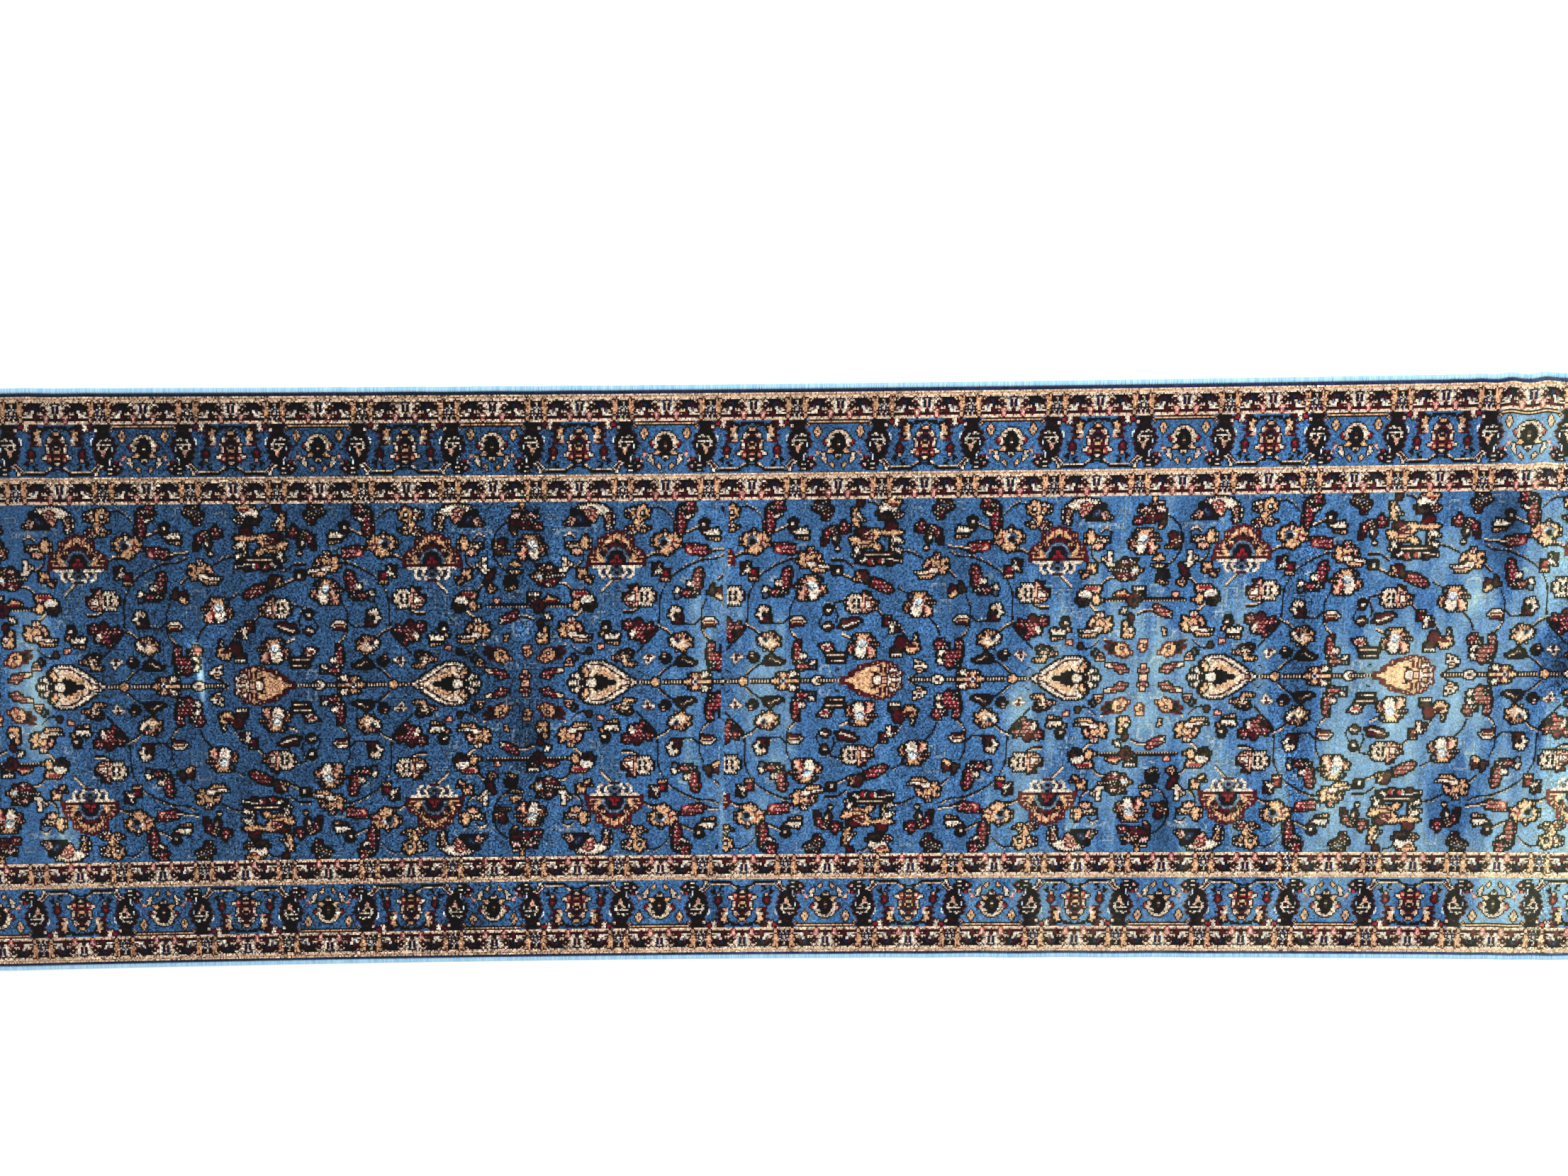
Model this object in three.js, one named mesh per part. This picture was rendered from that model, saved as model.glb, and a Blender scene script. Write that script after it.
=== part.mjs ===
// A woven runner rug, 3 m long and 0.8 m wide, lying flat with its pile face up.
// Millimetres, +Z up, X along the length, Y across the width.
// The origin is at the middle of the underside, on the surface that the rug lies on.
//
// The rug is built up as it is made: a woven ground cloth with a thin latex back coat, tufts of pile yarn
// standing on the cloth in lengthwise stripes, a cord laid along each raw edge of the cloth,
// and serging yarn whipped round the cord and over the cloth's edge.

import * as THREE from "three";

// Overall sizes
const RUG_LENGTH = 3000;
const RUG_WIDTH = 800;

// Thicknesses of the layers
const BACK_COAT = 0.9;
const GROUND = 2.0;
const PILE = 6.0;

// Serged edge: yarn wrapped round a cord that is butted against the ground cloth's edge
const CORD_DIAMETER = 4.2;
const SERGING_YARN = 0.9;
const SERGING_BITE = 2.0; // how far the wrap reaches in over the ground cloth

// Pile stripes across the width, from each long edge inwards; the field takes what is left
const EDGE_LINE_WIDTH = 4;
const OUTER_GUARD_WIDTH = 36;
const MAIN_BORDER_WIDTH = 70;
const INNER_GUARD_WIDTH = 36;

// Clearance between any two pieces that lie against each other
const GAP = 0.3;

// Facets on a half turn of the cord and of the wrap's nose
const HALF_TURN_FACETS = 10;

// Heights of the layers; the cloth clears both the back coat and the yarn that passes under it
const GROUND_BOTTOM = Math.max(BACK_COAT, SERGING_YARN) + GAP;
const GROUND_TOP = GROUND_BOTTOM + GROUND;
const PILE_BOTTOM = GROUND_TOP + GAP;
const PILE_TOP = PILE_BOTTOM + PILE;

// Distances in from the rug's edge: the wrap's nose, the cloth's edge, the wrap's lips and the pile
const NOSE_RADIUS = SERGING_YARN + GAP + CORD_DIAMETER / 2;
const CLOTH_EDGE = NOSE_RADIUS + CORD_DIAMETER / 2 + GAP;
const LIP = CLOTH_EDGE + SERGING_BITE;
const PILE_EDGE = LIP + GAP;

const CLOTH_LENGTH = RUG_LENGTH - 2 * CLOTH_EDGE;
const CLOTH_WIDTH = RUG_WIDTH - 2 * CLOTH_EDGE;
const PILE_LENGTH = RUG_LENGTH - 2 * PILE_EDGE;
const PILE_WIDTH = RUG_WIDTH - 2 * PILE_EDGE;

function finish(name, color, roughness) {
  return new THREE.MeshStandardMaterial({ name, color, roughness, metalness: 0 });
}

const BLUE_PILE = finish("blue pile", 0x2f63a8, 0.75);
const CAMEL_PILE = finish("camel pile", 0xc99c63, 0.75);
const NAVY_PILE = finish("navy pile", 0x1f3f74, 0.75);
const SERGING = finish("light blue serging yarn", 0x9fcbe8, 0.6);
const CORD = finish("cotton cord", 0xd9cfb8, 0.9);
const CLOTH = finish("jute and cotton ground", 0xb39a6d, 0.95);
const LATEX = finish("latex back coat", 0xcfc6ae, 0.8);

const rug = new THREE.Group();

function add(name, geometry, material, parent = rug) {
  const mesh = new THREE.Mesh(geometry, material);
  mesh.name = name;
  parent.add(mesh);
  return mesh;
}

// A flat layer between two heights, with its middle line at y
function layer(name, length, width, bottom, top, y, material) {
  const mesh = add(name, new THREE.BoxGeometry(length, width, top - bottom), material);
  mesh.position.set(0, y, (bottom + top) / 2);
}

// The wrap's section, with the rug's edge at x = 0, the rug towards +x and the floor at y = 0:
// a hook with a round nose, flat where it lies on the floor, whose upper lip slopes down to the cloth.
function wrapSection() {
  const innerRadius = NOSE_RADIUS - SERGING_YARN;
  const top = 2 * NOSE_RADIUS;
  const mouthTop = GROUND_TOP + GAP;
  const section = new THREE.Shape();
  section.moveTo(LIP, mouthTop + SERGING_YARN);
  section.lineTo(CLOTH_EDGE, top);
  section.lineTo(NOSE_RADIUS, top);
  section.absarc(NOSE_RADIUS, NOSE_RADIUS, NOSE_RADIUS, Math.PI / 2, (3 * Math.PI) / 2, false);
  section.lineTo(LIP, 0);
  section.lineTo(LIP, SERGING_YARN);
  section.lineTo(NOSE_RADIUS, SERGING_YARN);
  section.absarc(NOSE_RADIUS, NOSE_RADIUS, innerRadius, (3 * Math.PI) / 2, Math.PI / 2, true);
  section.lineTo(CLOTH_EDGE, top - SERGING_YARN);
  section.lineTo(LIP, mouthTop);
  section.closePath();
  return section;
}

// A serged edge: the wrap and, inside it, the cord. Its group's x points into the rug, y up and z along the edge
function sergedEdge(name, x, y, inwards, length) {
  const up = new THREE.Vector3(0, 0, 1);
  const along = new THREE.Vector3().crossVectors(inwards, up);
  const group = new THREE.Group();
  group.matrixAutoUpdate = false;
  group.matrix.makeBasis(inwards, up, along).setPosition(x, y, 0);
  rug.add(group);

  const wrap = new THREE.ExtrudeGeometry(wrapSection(), {
    depth: length,
    bevelEnabled: false,
    curveSegments: HALF_TURN_FACETS,
  });
  wrap.translate(0, 0, -length / 2);
  add(`${name}_serging`, wrap, SERGING, group);

  const radius = CORD_DIAMETER / 2;
  const cord = new THREE.CylinderGeometry(radius, radius, length, 2 * HALF_TURN_FACETS);
  cord.rotateX(Math.PI / 2);
  cord.translate(NOSE_RADIUS, NOSE_RADIUS, 0);
  add(`${name}_cord`, cord, CORD, group);
}

// Ground cloth and back coat: the cloth reaches into the wraps, the coat stops short of them
layer("ground_cloth", CLOTH_LENGTH, CLOTH_WIDTH, GROUND_BOTTOM, GROUND_TOP, 0, CLOTH);
layer("back_coat", PILE_LENGTH, PILE_WIDTH, 0, BACK_COAT, 0, LATEX);

// Pile stripes, from the edge inwards, alike on the front and the rear side
const STRIPES = [
  { name: "edge_line_pile", width: EDGE_LINE_WIDTH, yarn: NAVY_PILE },
  { name: "outer_guard_pile", width: OUTER_GUARD_WIDTH, yarn: CAMEL_PILE },
  { name: "main_border_pile", width: MAIN_BORDER_WIDTH, yarn: BLUE_PILE },
  { name: "inner_guard_pile", width: INNER_GUARD_WIDTH, yarn: CAMEL_PILE },
];
let stripeEdge = PILE_WIDTH / 2;
for (const { name, width, yarn } of STRIPES) {
  const middle = stripeEdge - width / 2;
  layer(`front_${name}`, PILE_LENGTH, width - GAP, PILE_BOTTOM, PILE_TOP, -middle, yarn);
  layer(`rear_${name}`, PILE_LENGTH, width - GAP, PILE_BOTTOM, PILE_TOP, middle, yarn);
  stripeEdge -= width;
}
layer("field_pile", PILE_LENGTH, 2 * stripeEdge - GAP, PILE_BOTTOM, PILE_TOP, 0, BLUE_PILE);

// The serged long edges run the whole length of the rug, and the end wraps fit between them
const END_WRAP_LENGTH = RUG_WIDTH - 2 * (LIP + GAP);
sergedEdge("front", 0, -RUG_WIDTH / 2, new THREE.Vector3(0, 1, 0), RUG_LENGTH);
sergedEdge("rear", 0, RUG_WIDTH / 2, new THREE.Vector3(0, -1, 0), RUG_LENGTH);
sergedEdge("left_end", -RUG_LENGTH / 2, 0, new THREE.Vector3(1, 0, 0), END_WRAP_LENGTH);
sergedEdge("right_end", RUG_LENGTH / 2, 0, new THREE.Vector3(-1, 0, 0), END_WRAP_LENGTH);

export default rug;
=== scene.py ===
# A cut-length woven runner rug lying flat on a pale floor, pile face up, seen from above.
import math
import bpy
import numpy as np
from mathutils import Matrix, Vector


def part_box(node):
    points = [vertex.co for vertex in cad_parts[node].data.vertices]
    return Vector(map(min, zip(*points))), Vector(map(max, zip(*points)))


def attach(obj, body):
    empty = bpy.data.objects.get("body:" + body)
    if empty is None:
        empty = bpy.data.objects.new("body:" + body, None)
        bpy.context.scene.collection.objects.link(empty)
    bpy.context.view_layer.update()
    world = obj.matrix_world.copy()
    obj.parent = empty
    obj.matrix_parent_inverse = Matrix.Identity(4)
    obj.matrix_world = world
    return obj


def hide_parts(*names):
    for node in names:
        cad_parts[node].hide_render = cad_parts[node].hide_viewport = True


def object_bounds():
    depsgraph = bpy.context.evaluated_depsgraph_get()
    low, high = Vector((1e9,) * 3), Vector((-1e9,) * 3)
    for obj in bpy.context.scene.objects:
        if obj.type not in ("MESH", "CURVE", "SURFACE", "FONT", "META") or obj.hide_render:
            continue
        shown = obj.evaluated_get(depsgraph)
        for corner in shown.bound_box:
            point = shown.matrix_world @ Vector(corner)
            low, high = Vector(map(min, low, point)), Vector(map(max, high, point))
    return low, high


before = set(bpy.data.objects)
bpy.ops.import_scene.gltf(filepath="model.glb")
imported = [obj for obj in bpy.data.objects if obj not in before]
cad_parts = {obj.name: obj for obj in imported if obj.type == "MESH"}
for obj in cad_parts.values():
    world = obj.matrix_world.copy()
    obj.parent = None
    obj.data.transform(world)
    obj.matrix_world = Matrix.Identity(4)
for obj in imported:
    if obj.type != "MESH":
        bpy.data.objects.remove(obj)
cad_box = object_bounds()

# ------------------------------------------------------------------ ground cloth
# The woven jute-and-cotton cloth that every tuft is tied into. It is one sheet, laid flat,
# and every other piece of the rug is worked onto it, so its small waves are theirs too.
MM = 0.001
BODY = "root"
cloth_low, cloth_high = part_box("ground_cloth")
rug_low, rug_high = cad_box
HALF_LENGTH = (rug_high[0] - rug_low[0]) / 2
HALF_WIDTH = (rug_high[1] - rug_low[1]) / 2

WAIST_REACH = 1.06             # the long sides pull in between two points this far from the middle
REAR_WAIST = 4.7 * MM
FRONT_WAIST = 10.0 * MM
SKEW = 0.033                   # the weave leans: the rear side lies a little further right
RIPPLES = (                    # x, y, reach along x, reach along y, crest, lift
    (0.985, 0.36, 0.085, 0.16, 0.050, 4.6 * MM),
    (0.905, 0.40, 0.060, 0.10, 0.040, 1.8 * MM),
    (1.010, -0.34, 0.090, 0.12, 0.062, 1.6 * MM),
    (-1.02, 0.30, 0.110, 0.20, 0.080, 1.5 * MM),
    (-0.42, 0.41, 0.200, 0.05, 0.110, 0.8 * MM),
    (0.35, -0.41, 0.240, 0.05, 0.130, 0.9 * MM),
)


def drape(points):
    """Lay flat points as the rug lies: sides drawn in a little, a few low waves off the floor."""
    p = np.array(points, dtype=float)
    x, y = p[:, 0].copy(), p[:, 1].copy()
    pull = np.clip(1 - (x / WAIST_REACH) ** 2, 0, 1)
    waist = np.where(y > 0, REAR_WAIST, FRONT_WAIST) * pull - np.where(y > 0, 1.0, 1.9) * MM * x
    p[:, 0] = x + SKEW * y * np.clip(1 - (x / HALF_LENGTH) ** 2, 0, 1)
    p[:, 1] = y - np.sign(y) * waist * (np.abs(y) / HALF_WIDTH)
    for at_x, at_y, reach_x, reach_y, crest, lift in RIPPLES:
        fade = np.exp(-((x - at_x) / reach_x) ** 2 - ((y - at_y) / reach_y) ** 2)
        wave = 0.5 + 0.5 * np.cos(2 * np.pi * (x - at_x + 0.12 * (y - at_y)) / crest)
        p[:, 2] += lift * fade * wave
        p[:, 1] += 0.32 * lift * fade * np.sin(2 * np.pi * (x - at_x) / crest)
    return p


def mesh_piece(name, points, faces, material, smooth=True):
    """Make one object at the origin from points in metres."""
    mesh = bpy.data.meshes.new(name)
    mesh.from_pydata([tuple(v) for v in points], [], faces)
    mesh.materials.append(material)
    mesh.polygons.foreach_set("use_smooth", [smooth] * len(mesh.polygons))
    mesh.update()
    piece = bpy.data.objects.new(name, mesh)
    bpy.context.scene.collection.objects.link(piece)
    return piece


def slab(name, low, high, step, material):
    """A thin closed sheet, both faces in a grid of about one step, laid as the rug lies."""
    nx = max(2, round((high[0] - low[0]) / step))
    ny = max(2, round((high[1] - low[1]) / step))
    xs = np.linspace(low[0], high[0], nx + 1)
    ys = np.linspace(low[1], high[1], ny + 1)
    gx, gy = np.meshgrid(xs, ys)
    count = gx.size
    top = np.stack([gx.ravel(), gy.ravel(), np.full(count, high[2])], 1)
    under = top.copy()
    under[:, 2] = low[2]
    points = drape(np.vstack([top, under]))
    row = nx + 1
    faces = []
    for j in range(ny):
        for i in range(nx):
            a = j * row + i
            faces.append((a, a + 1, a + row + 1, a + row))
            faces.append((count + a + row, count + a + row + 1, count + a + 1, count + a))
    for i in range(nx):
        far = ny * row + i
        faces.append((i, count + i, count + i + 1, i + 1))
        faces.append((far + 1, count + far + 1, count + far, far))
    for j in range(ny):
        a, b = j * row, (j + 1) * row
        faces.append((b, count + b, count + a, a))
        faces.append((a + nx, count + a + nx, count + b + nx, b + nx))
    return mesh_piece(name, points, faces, material)


def srgb(*colour):
    """Yarn colours are written as they look, 0 to 255, and used as linear light."""
    c = np.array(colour) / 255
    return tuple(np.where(c <= 0.04045, c / 12.92, ((c + 0.055) / 1.055) ** 2.4)) + (1.0,)


def node(tree, kind, **settings):
    made = tree.nodes.new(kind)
    for key, value in settings.items():
        setattr(made, key, value)
    return made


def maths(tree, operation, a, b=None, c=None):
    """A Math node whose inputs are sockets or numbers."""
    made = node(tree, "ShaderNodeMath", operation=operation)
    for socket, value in zip(made.inputs, (a, b, c)):
        if value is None:
            continue
        if isinstance(value, (int, float)):
            socket.default_value = value
        else:
            tree.links.new(value, socket)
    return made.outputs[0]


def new_group(name, inputs, outputs):
    """A shader node group with float inputs (name, default) and outputs (name, socket type)."""
    tree = bpy.data.node_groups.new(name, "ShaderNodeTree")
    for label, default in inputs:
        socket = tree.interface.new_socket(name=label, in_out="INPUT", socket_type="NodeSocketFloat")
        socket.default_value = default
    for label, kind in outputs:
        tree.interface.new_socket(name=label, in_out="OUTPUT", socket_type=kind)
    return tree, node(tree, "NodeGroupInput"), node(tree, "NodeGroupOutput")


def use_group(tree, group, **values):
    made = node(tree, "ShaderNodeGroup", node_tree=group)
    for label, value in values.items():
        made.inputs[label.replace("_", " ")].default_value = value
    return made


def fuzz_noise(tree, place, scale, detail):
    fuzz = node(tree, "ShaderNodeTexNoise")
    fuzz.inputs["Scale"].default_value = scale
    fuzz.inputs["Detail"].default_value = detail
    tree.links.new(place, fuzz.inputs["Vector"])
    return fuzz.outputs["Fac"]


def plain_weave_group():
    """Over-and-under weave: height of the threads, and a mask that is 1 on the weft."""
    tree, given, out = new_group(
        "Plain weave",
        [("Warp pitch", 0.002), ("Weft pitch", 0.002), ("Unevenness", 0.3)],
        [("Height", "NodeSocketFloat"), ("Weft", "NodeSocketFloat")],
    )
    place = node(tree, "ShaderNodeTexCoord").outputs["Object"]
    noise = fuzz_noise(tree, place, 90, 3)
    wobble = maths(tree, "MULTIPLY", maths(tree, "SUBTRACT", noise, 0.5), given.outputs["Unevenness"])
    axes = node(tree, "ShaderNodeSeparateXYZ")
    tree.links.new(place, axes.inputs[0])
    warp = maths(tree, "ADD", maths(tree, "DIVIDE", axes.outputs["Y"], given.outputs["Warp pitch"]), wobble)
    weft = maths(tree, "ADD", maths(tree, "DIVIDE", axes.outputs["X"], given.outputs["Weft pitch"]), wobble)
    warp_wave = maths(tree, "SINE", maths(tree, "MULTIPLY", warp, math.pi))
    weft_wave = maths(tree, "SINE", maths(tree, "MULTIPLY", weft, math.pi))
    product = maths(tree, "MULTIPLY", warp_wave, weft_wave)
    over = maths(tree, "GREATER_THAN", product, 0.0)
    height = maths(tree, "ADD", maths(tree, "ABSOLUTE", warp_wave), maths(tree, "ABSOLUTE", weft_wave))
    tree.links.new(height, out.inputs["Height"])
    tree.links.new(over, out.inputs["Weft"])
    return tree


PLAIN_WEAVE = plain_weave_group()


def new_material(name, roughness, gloss):
    material = bpy.data.materials.new(name)
    material.use_nodes = True
    shader = material.node_tree.nodes["Principled BSDF"]
    shader.inputs["Roughness"].default_value = roughness
    shader.inputs["Specular IOR Level"].default_value = gloss
    return material, material.node_tree, shader


def emboss(tree, shader, height, strength, depth):
    """Raise a material's surface by a height socket, depth in metres."""
    bump = node(tree, "ShaderNodeBump")
    bump.inputs["Strength"].default_value = strength
    bump.inputs["Distance"].default_value = depth
    tree.links.new(height, bump.inputs["Height"])
    tree.links.new(bump.outputs["Normal"], shader.inputs["Normal"])


def woven_material(name, warp_colour, weft_colour, pitch, roughness, depth):
    """Cloth in two yarn colours, a little stained, with its weave standing up."""
    material, tree, shader = new_material(name, roughness, 0.2)
    weave = use_group(tree, PLAIN_WEAVE, Warp_pitch=pitch, Weft_pitch=pitch * 0.8, Unevenness=0.7)
    mix = node(tree, "ShaderNodeMix", data_type="RGBA")
    mix.inputs["A"].default_value = warp_colour
    mix.inputs["B"].default_value = weft_colour
    tree.links.new(weave.outputs["Weft"], mix.inputs["Factor"])
    stain = fuzz_noise(tree, node(tree, "ShaderNodeTexCoord").outputs["Object"], 14, 5)
    tone = node(tree, "ShaderNodeHueSaturation")
    tree.links.new(maths(tree, "ADD", maths(tree, "MULTIPLY", stain, 0.35), 0.82), tone.inputs["Value"])
    tree.links.new(mix.outputs["Result"], tone.inputs["Color"])
    tree.links.new(tone.outputs["Color"], shader.inputs["Base Color"])
    emboss(tree, shader, weave.outputs["Height"], 0.8, depth)
    return material


CLOTH_GRID = 10 * MM
WEAVE_PITCH = 2.2 * MM
cloth_yarn = woven_material("Ground cloth yarn", srgb(176, 152, 112), srgb(206, 190, 158),
                            WEAVE_PITCH, 0.9, 0.4 * MM)
ground_cloth = slab("ground_cloth_sheet", cloth_low, cloth_high, CLOTH_GRID, cloth_yarn)

# ------------------------------------------------------------------ back coat
# A thin stiffening coat brushed over the underside, which takes the print of the weave
# and locks the tufts in. It bonds to the cloth and is what lies on the floor.
coat_low, coat_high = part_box("back_coat")
coat_finish = woven_material("Back coat latex", srgb(188, 178, 156), srgb(206, 199, 182),
                             WEAVE_PITCH, 0.62, 0.18 * MM)
back_coat = slab("back_coat_skin", coat_low, coat_high, CLOTH_GRID * 1.5, coat_finish)
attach(back_coat, BODY)
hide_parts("back_coat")

# ------------------------------------------------------------------ the weaver's chart
# The pile is tied knot by knot from a chart, one square to a knot, as on the loom card.
# Each flower is drawn here in knots, gets a one-knot edge, and is laid into the repeat.
KNOT = 2 * MM
EMPTY = -1
(BLUE, BLACK, IVORY, CAMEL, MAROON, RED, SALMON, NAVY,
 PALE, BROWN, SLATE, GHOST, ROSE, INK, SKY, BEIGE) = range(16)


class Panel:
    """A piece of chart: knots[j, i] is the yarn of the knot whose middle is at X[j, i], Y[j, i]."""

    def __init__(self, x0, x1, y0, y1, ground=EMPTY, bold=True):
        self.bold = bold       # whether outlines are filled in at their corners
        self.X, self.Y = np.meshgrid(np.arange(x0, x1) + 0.5, np.arange(y0, y1) + 0.5)
        self.knots = np.full(self.X.shape, ground, dtype=int)


def area(*points):
    """The knots inside an outline."""
    def inside(x, y):
        hit = np.zeros(x.shape, bool)
        for (ax, ay), (bx, by) in zip(points, points[1:] + points[:1]):
            if ay != by:
                hit ^= ((ay > y) != (by > y)) & (x < (bx - ax) * (y - ay) / (by - ay) + ax)
        return hit
    return inside


def disc(cx, cy, rx, ry=None, lobes=0, depth=0.0, turn=0.0):
    """A round or oval patch, with petals if it has lobes."""
    ry = rx if ry is None else ry
    def inside(x, y):
        u, v = (x - cx) / rx, (y - cy) / ry
        edge = 1 + depth * np.cos(lobes * (np.arctan2(v, u) - turn))
        return np.hypot(u, v) <= edge
    return inside


def ring(cx, cy, rx, ry, thick):
    def inside(x, y):
        outer = np.hypot((x - cx) / rx, (y - cy) / ry) <= 1
        inner = np.hypot((x - cx) / (rx - thick), (y - cy) / (ry - thick)) <= 1
        return outer & ~inner
    return inside


def line(*points, w=1.1):
    """A run of knots along a broken line."""
    def inside(x, y):
        hit = np.zeros(x.shape, bool)
        for (ax, ay), (bx, by) in zip(points, points[1:]):
            length = (bx - ax) ** 2 + (by - ay) ** 2
            t = np.clip(((x - ax) * (bx - ax) + (y - ay) * (by - ay)) / max(length, 1e-9), 0, 1)
            hit |= np.hypot(x - ax - t * (bx - ax), y - ay - t * (by - ay)) <= w / 2
        return hit
    return inside


def box(x0, y0, x1, y1):
    return lambda x, y: (x > x0) & (x < x1) & (y > y0) & (y < y1)


def slanting_dashes(x, y):
    """Short slanting dashes, and whether a knot is in the row between two rows of them."""
    up = np.floor(y)
    dash = (np.floor(x) + up % 3 + 2 * np.floor(up / 3)) % 3 == 0
    return dash, up % 3 == 2


def grapes(x, y):
    """Rose dashes on crimson, with maroon between the rows."""
    dash, between = slanting_dashes(x, y)
    return np.where(between, MAROON, np.where(dash, ROSE, RED))


def pale_grapes(x, y):
    """Ivory dashes on black."""
    dash, between = slanting_dashes(x, y)
    return np.where(dash & ~between, IVORY, BLACK)


def mottled(x, y):
    """Brown and black knots with a few beige ones, in short slanting strokes."""
    stroke = (np.floor(x) + 2 * np.floor(y)) % 5
    return np.where(stroke == 0, BEIGE, np.where(stroke < 3, BLACK, BROWN))


def grown(mask, corners):
    """The mask and the knots beside, above and below it, with or without those at the corners."""
    tall = mask.copy()
    tall[1:] |= mask[:-1]
    tall[:-1] |= mask[1:]
    wide = tall.copy()
    source = tall if corners else mask
    wide[:, 1:] |= source[:, :-1]
    wide[:, :-1] |= source[:, 1:]
    return wide


def parting(drawn):
    """The knots where one light yarn meets another: there a dark knot keeps the petals apart."""
    light = np.isin(drawn, (IVORY, CAMEL, SALMON))
    parted = np.zeros(drawn.shape, bool)
    parted[:, 1:] |= light[:, 1:] & light[:, :-1] & (drawn[:, 1:] != drawn[:, :-1])
    parted[1:] |= light[1:] & light[:-1] & (drawn[1:] != drawn[:-1])
    return parted


TOOTH = 2.1                    # every other pair of rows is drawn this many knots narrower at each end
LARGE = 60                     # a motif of more knots than this also has its rim notched by the edge yarn


def combed(shapes, lx, ly, rows):
    """lx stretched about the shapes' middle on every other pair of rows, so that edges end in teeth."""
    covered = np.zeros(lx.shape, bool)
    for _, patch in shapes:
        covered |= patch(lx, ly)
    if not covered.any():
        return lx
    low, high = lx[covered].min(), lx[covered].max()
    middle, half = (low + high) / 2, max((high - low) / 2, 3.0)
    return np.where(np.floor(rows / 2) % 2 == 0, lx, middle + (lx - middle) * (1 + TOOTH / half))


def sew(panel, shapes, x=0.0, y=0.0, flip=1, rise=1, edge=BLACK, under=False):
    """Draw shapes (yarn, patch) about x, y, put one knot of edge yarn round them, and lay them down."""
    lx, ly = (panel.X - x) * flip, (panel.Y - y) * rise
    lx = combed(shapes, lx, ly, panel.Y)
    drawn = np.full(panel.knots.shape, EMPTY)
    for yarn, patch in shapes:
        mask = patch(lx, ly)
        drawn[mask] = yarn(lx, ly)[mask] if callable(yarn) else yarn
    if edge is not None and panel.bold:
        drawn[parting(drawn)] = MAROON
    covered = drawn != EMPTY
    if edge is not None:
        if panel.bold and covered.sum() > LARGE:
            rim = covered & grown(~covered, False)
            drawn[rim & ((np.floor(panel.X) + np.floor(panel.Y / 2)) % 2 < 1)] = edge
        drawn[grown(covered, panel.bold) & ~covered] = edge
        covered = drawn != EMPTY
    if under:
        covered &= panel.knots == EMPTY
    panel.knots[covered] = drawn[covered]


def vine(panel, *points, dashed=True):
    """A stem: a black line with a beige one above it, which is dotted unless dashed is False."""
    black = line(*points, w=1.3)(panel.X, panel.Y)
    beige = line(*[(px, py + 1.3) for px, py in points], w=1.0)(panel.X, panel.Y)
    if dashed:
        beige &= (np.floor(panel.X) + np.floor(panel.Y)) % 3 < 1
    panel.knots[beige & (panel.knots == EMPTY)] = BEIGE
    panel.knots[black & np.isin(panel.knots, (EMPTY, BEIGE))] = BLACK


def ghost(panel, *points):
    """A thin stray line in faded yarn."""
    mask = line(*points, w=1.0)(panel.X, panel.Y)
    panel.knots[mask & (panel.knots == EMPTY)] = GHOST


def stray_hooks(panel, places, inset=0, foot=0, past=0):
    """Faded frames (x, y, wide, tall): their left side and top, and a right side on a short foot."""
    for x, y, wide, tall in places:
        left, right = x - wide / 2, x + wide / 2
        low, high = y - tall / 2, y + tall / 2
        ghost(panel, (left, low), (left, high), (right, high))
        ghost(panel, (right - inset, high), (right - inset, low), (right + foot * wide + past, low))


def pair(yarn, shape, *points, **more):
    """One shape as given and the same turned over x = 0."""
    turned = [(-x, y) for x, y in points]
    return [(yarn, shape(*points, **more)), (yarn, shape(*turned, **more))]


# Flowers that the field uses more than once, each drawn about its own middle.
BIRD_FLOWER = [
    (CAMEL, area((-6, 2), (-3, 7), (2, 8), (5, 6), (11, 8), (10, 4), (12, 1), (9, -3), (3, -3), (0, 0))),
    (SALMON, area((-7, 0), (-6, 4), (-3, 7), (-1, 5), (-4, 1))),
    (IVORY, area((-12, -2), (-8, -1), (-4, -2), (0, 1), (5, 1), (4, -3), (-2, -6), (-8, -7), (-11, -5))),
    (CAMEL, area((-11, -5), (-4, -4), (2, -3), (0, -6), (-7, -7))),
    (BLACK, box(-3, 1, 0, 4)),
    (BLACK, box(1, 1, 3, 3)),
    (PALE, box(-2, 2, 1, 3)),
    (IVORY, disc(2.5, 8, 2.6, 3)),
    (RED, disc(2.5, 8, 1.1, 1.3)),
    (MAROON, line((-7, -1), (-4, -1), (-2, 1))),
    (MAROON, line((5, 6), (6, 2), (5, -2))),
]
PALE_FLOWER = [
    (CAMEL, area((-8, 3), (-6, 8), (-1, 9), (5, 8), (6, 5), (2, 2), (-4, 1))),
    (CAMEL, area((-12, 0), (-11, -5), (-9, -5), (-7, -2), (-5, 2), (-9, 2))),
    (SALMON, area((3, 6), (9, 4), (5, 3), (11, 1), (6, 0), (10, -4), (8, -7), (3, -6), (1, 0))),
    (IVORY, area((-6, 1), (-2, 3), (3, 1), (2, -4), (-1, -9), (-5, -8), (-8, -3))),
    (SALMON, area((1, -2), (3, -8), (8, -8), (9, -5), (5, -4))),
    (MAROON, line((3, 6), (7, 5))),
    (MAROON, line((4, 2.5), (9, 2))),
    (RED, line((2, -1), (4, -5), (3, -7))),
    (RED, line((-9, 0), (-9, -3))),
    (PALE, area((-5, 0), (-4, 4), (0, 5), (2, 3), (0, -1))),
    (IVORY, box(-3, 1, 0, 3)),
    (SLATE, line((-4, 0), (-1, -1), (1, 1))),
    (BLACK, area((-9, 3), (-8, 8), (-4, 7), (-5, 4))),
    (SLATE, box(-7.5, 4.5, -5.5, 6.5)),
]
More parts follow.
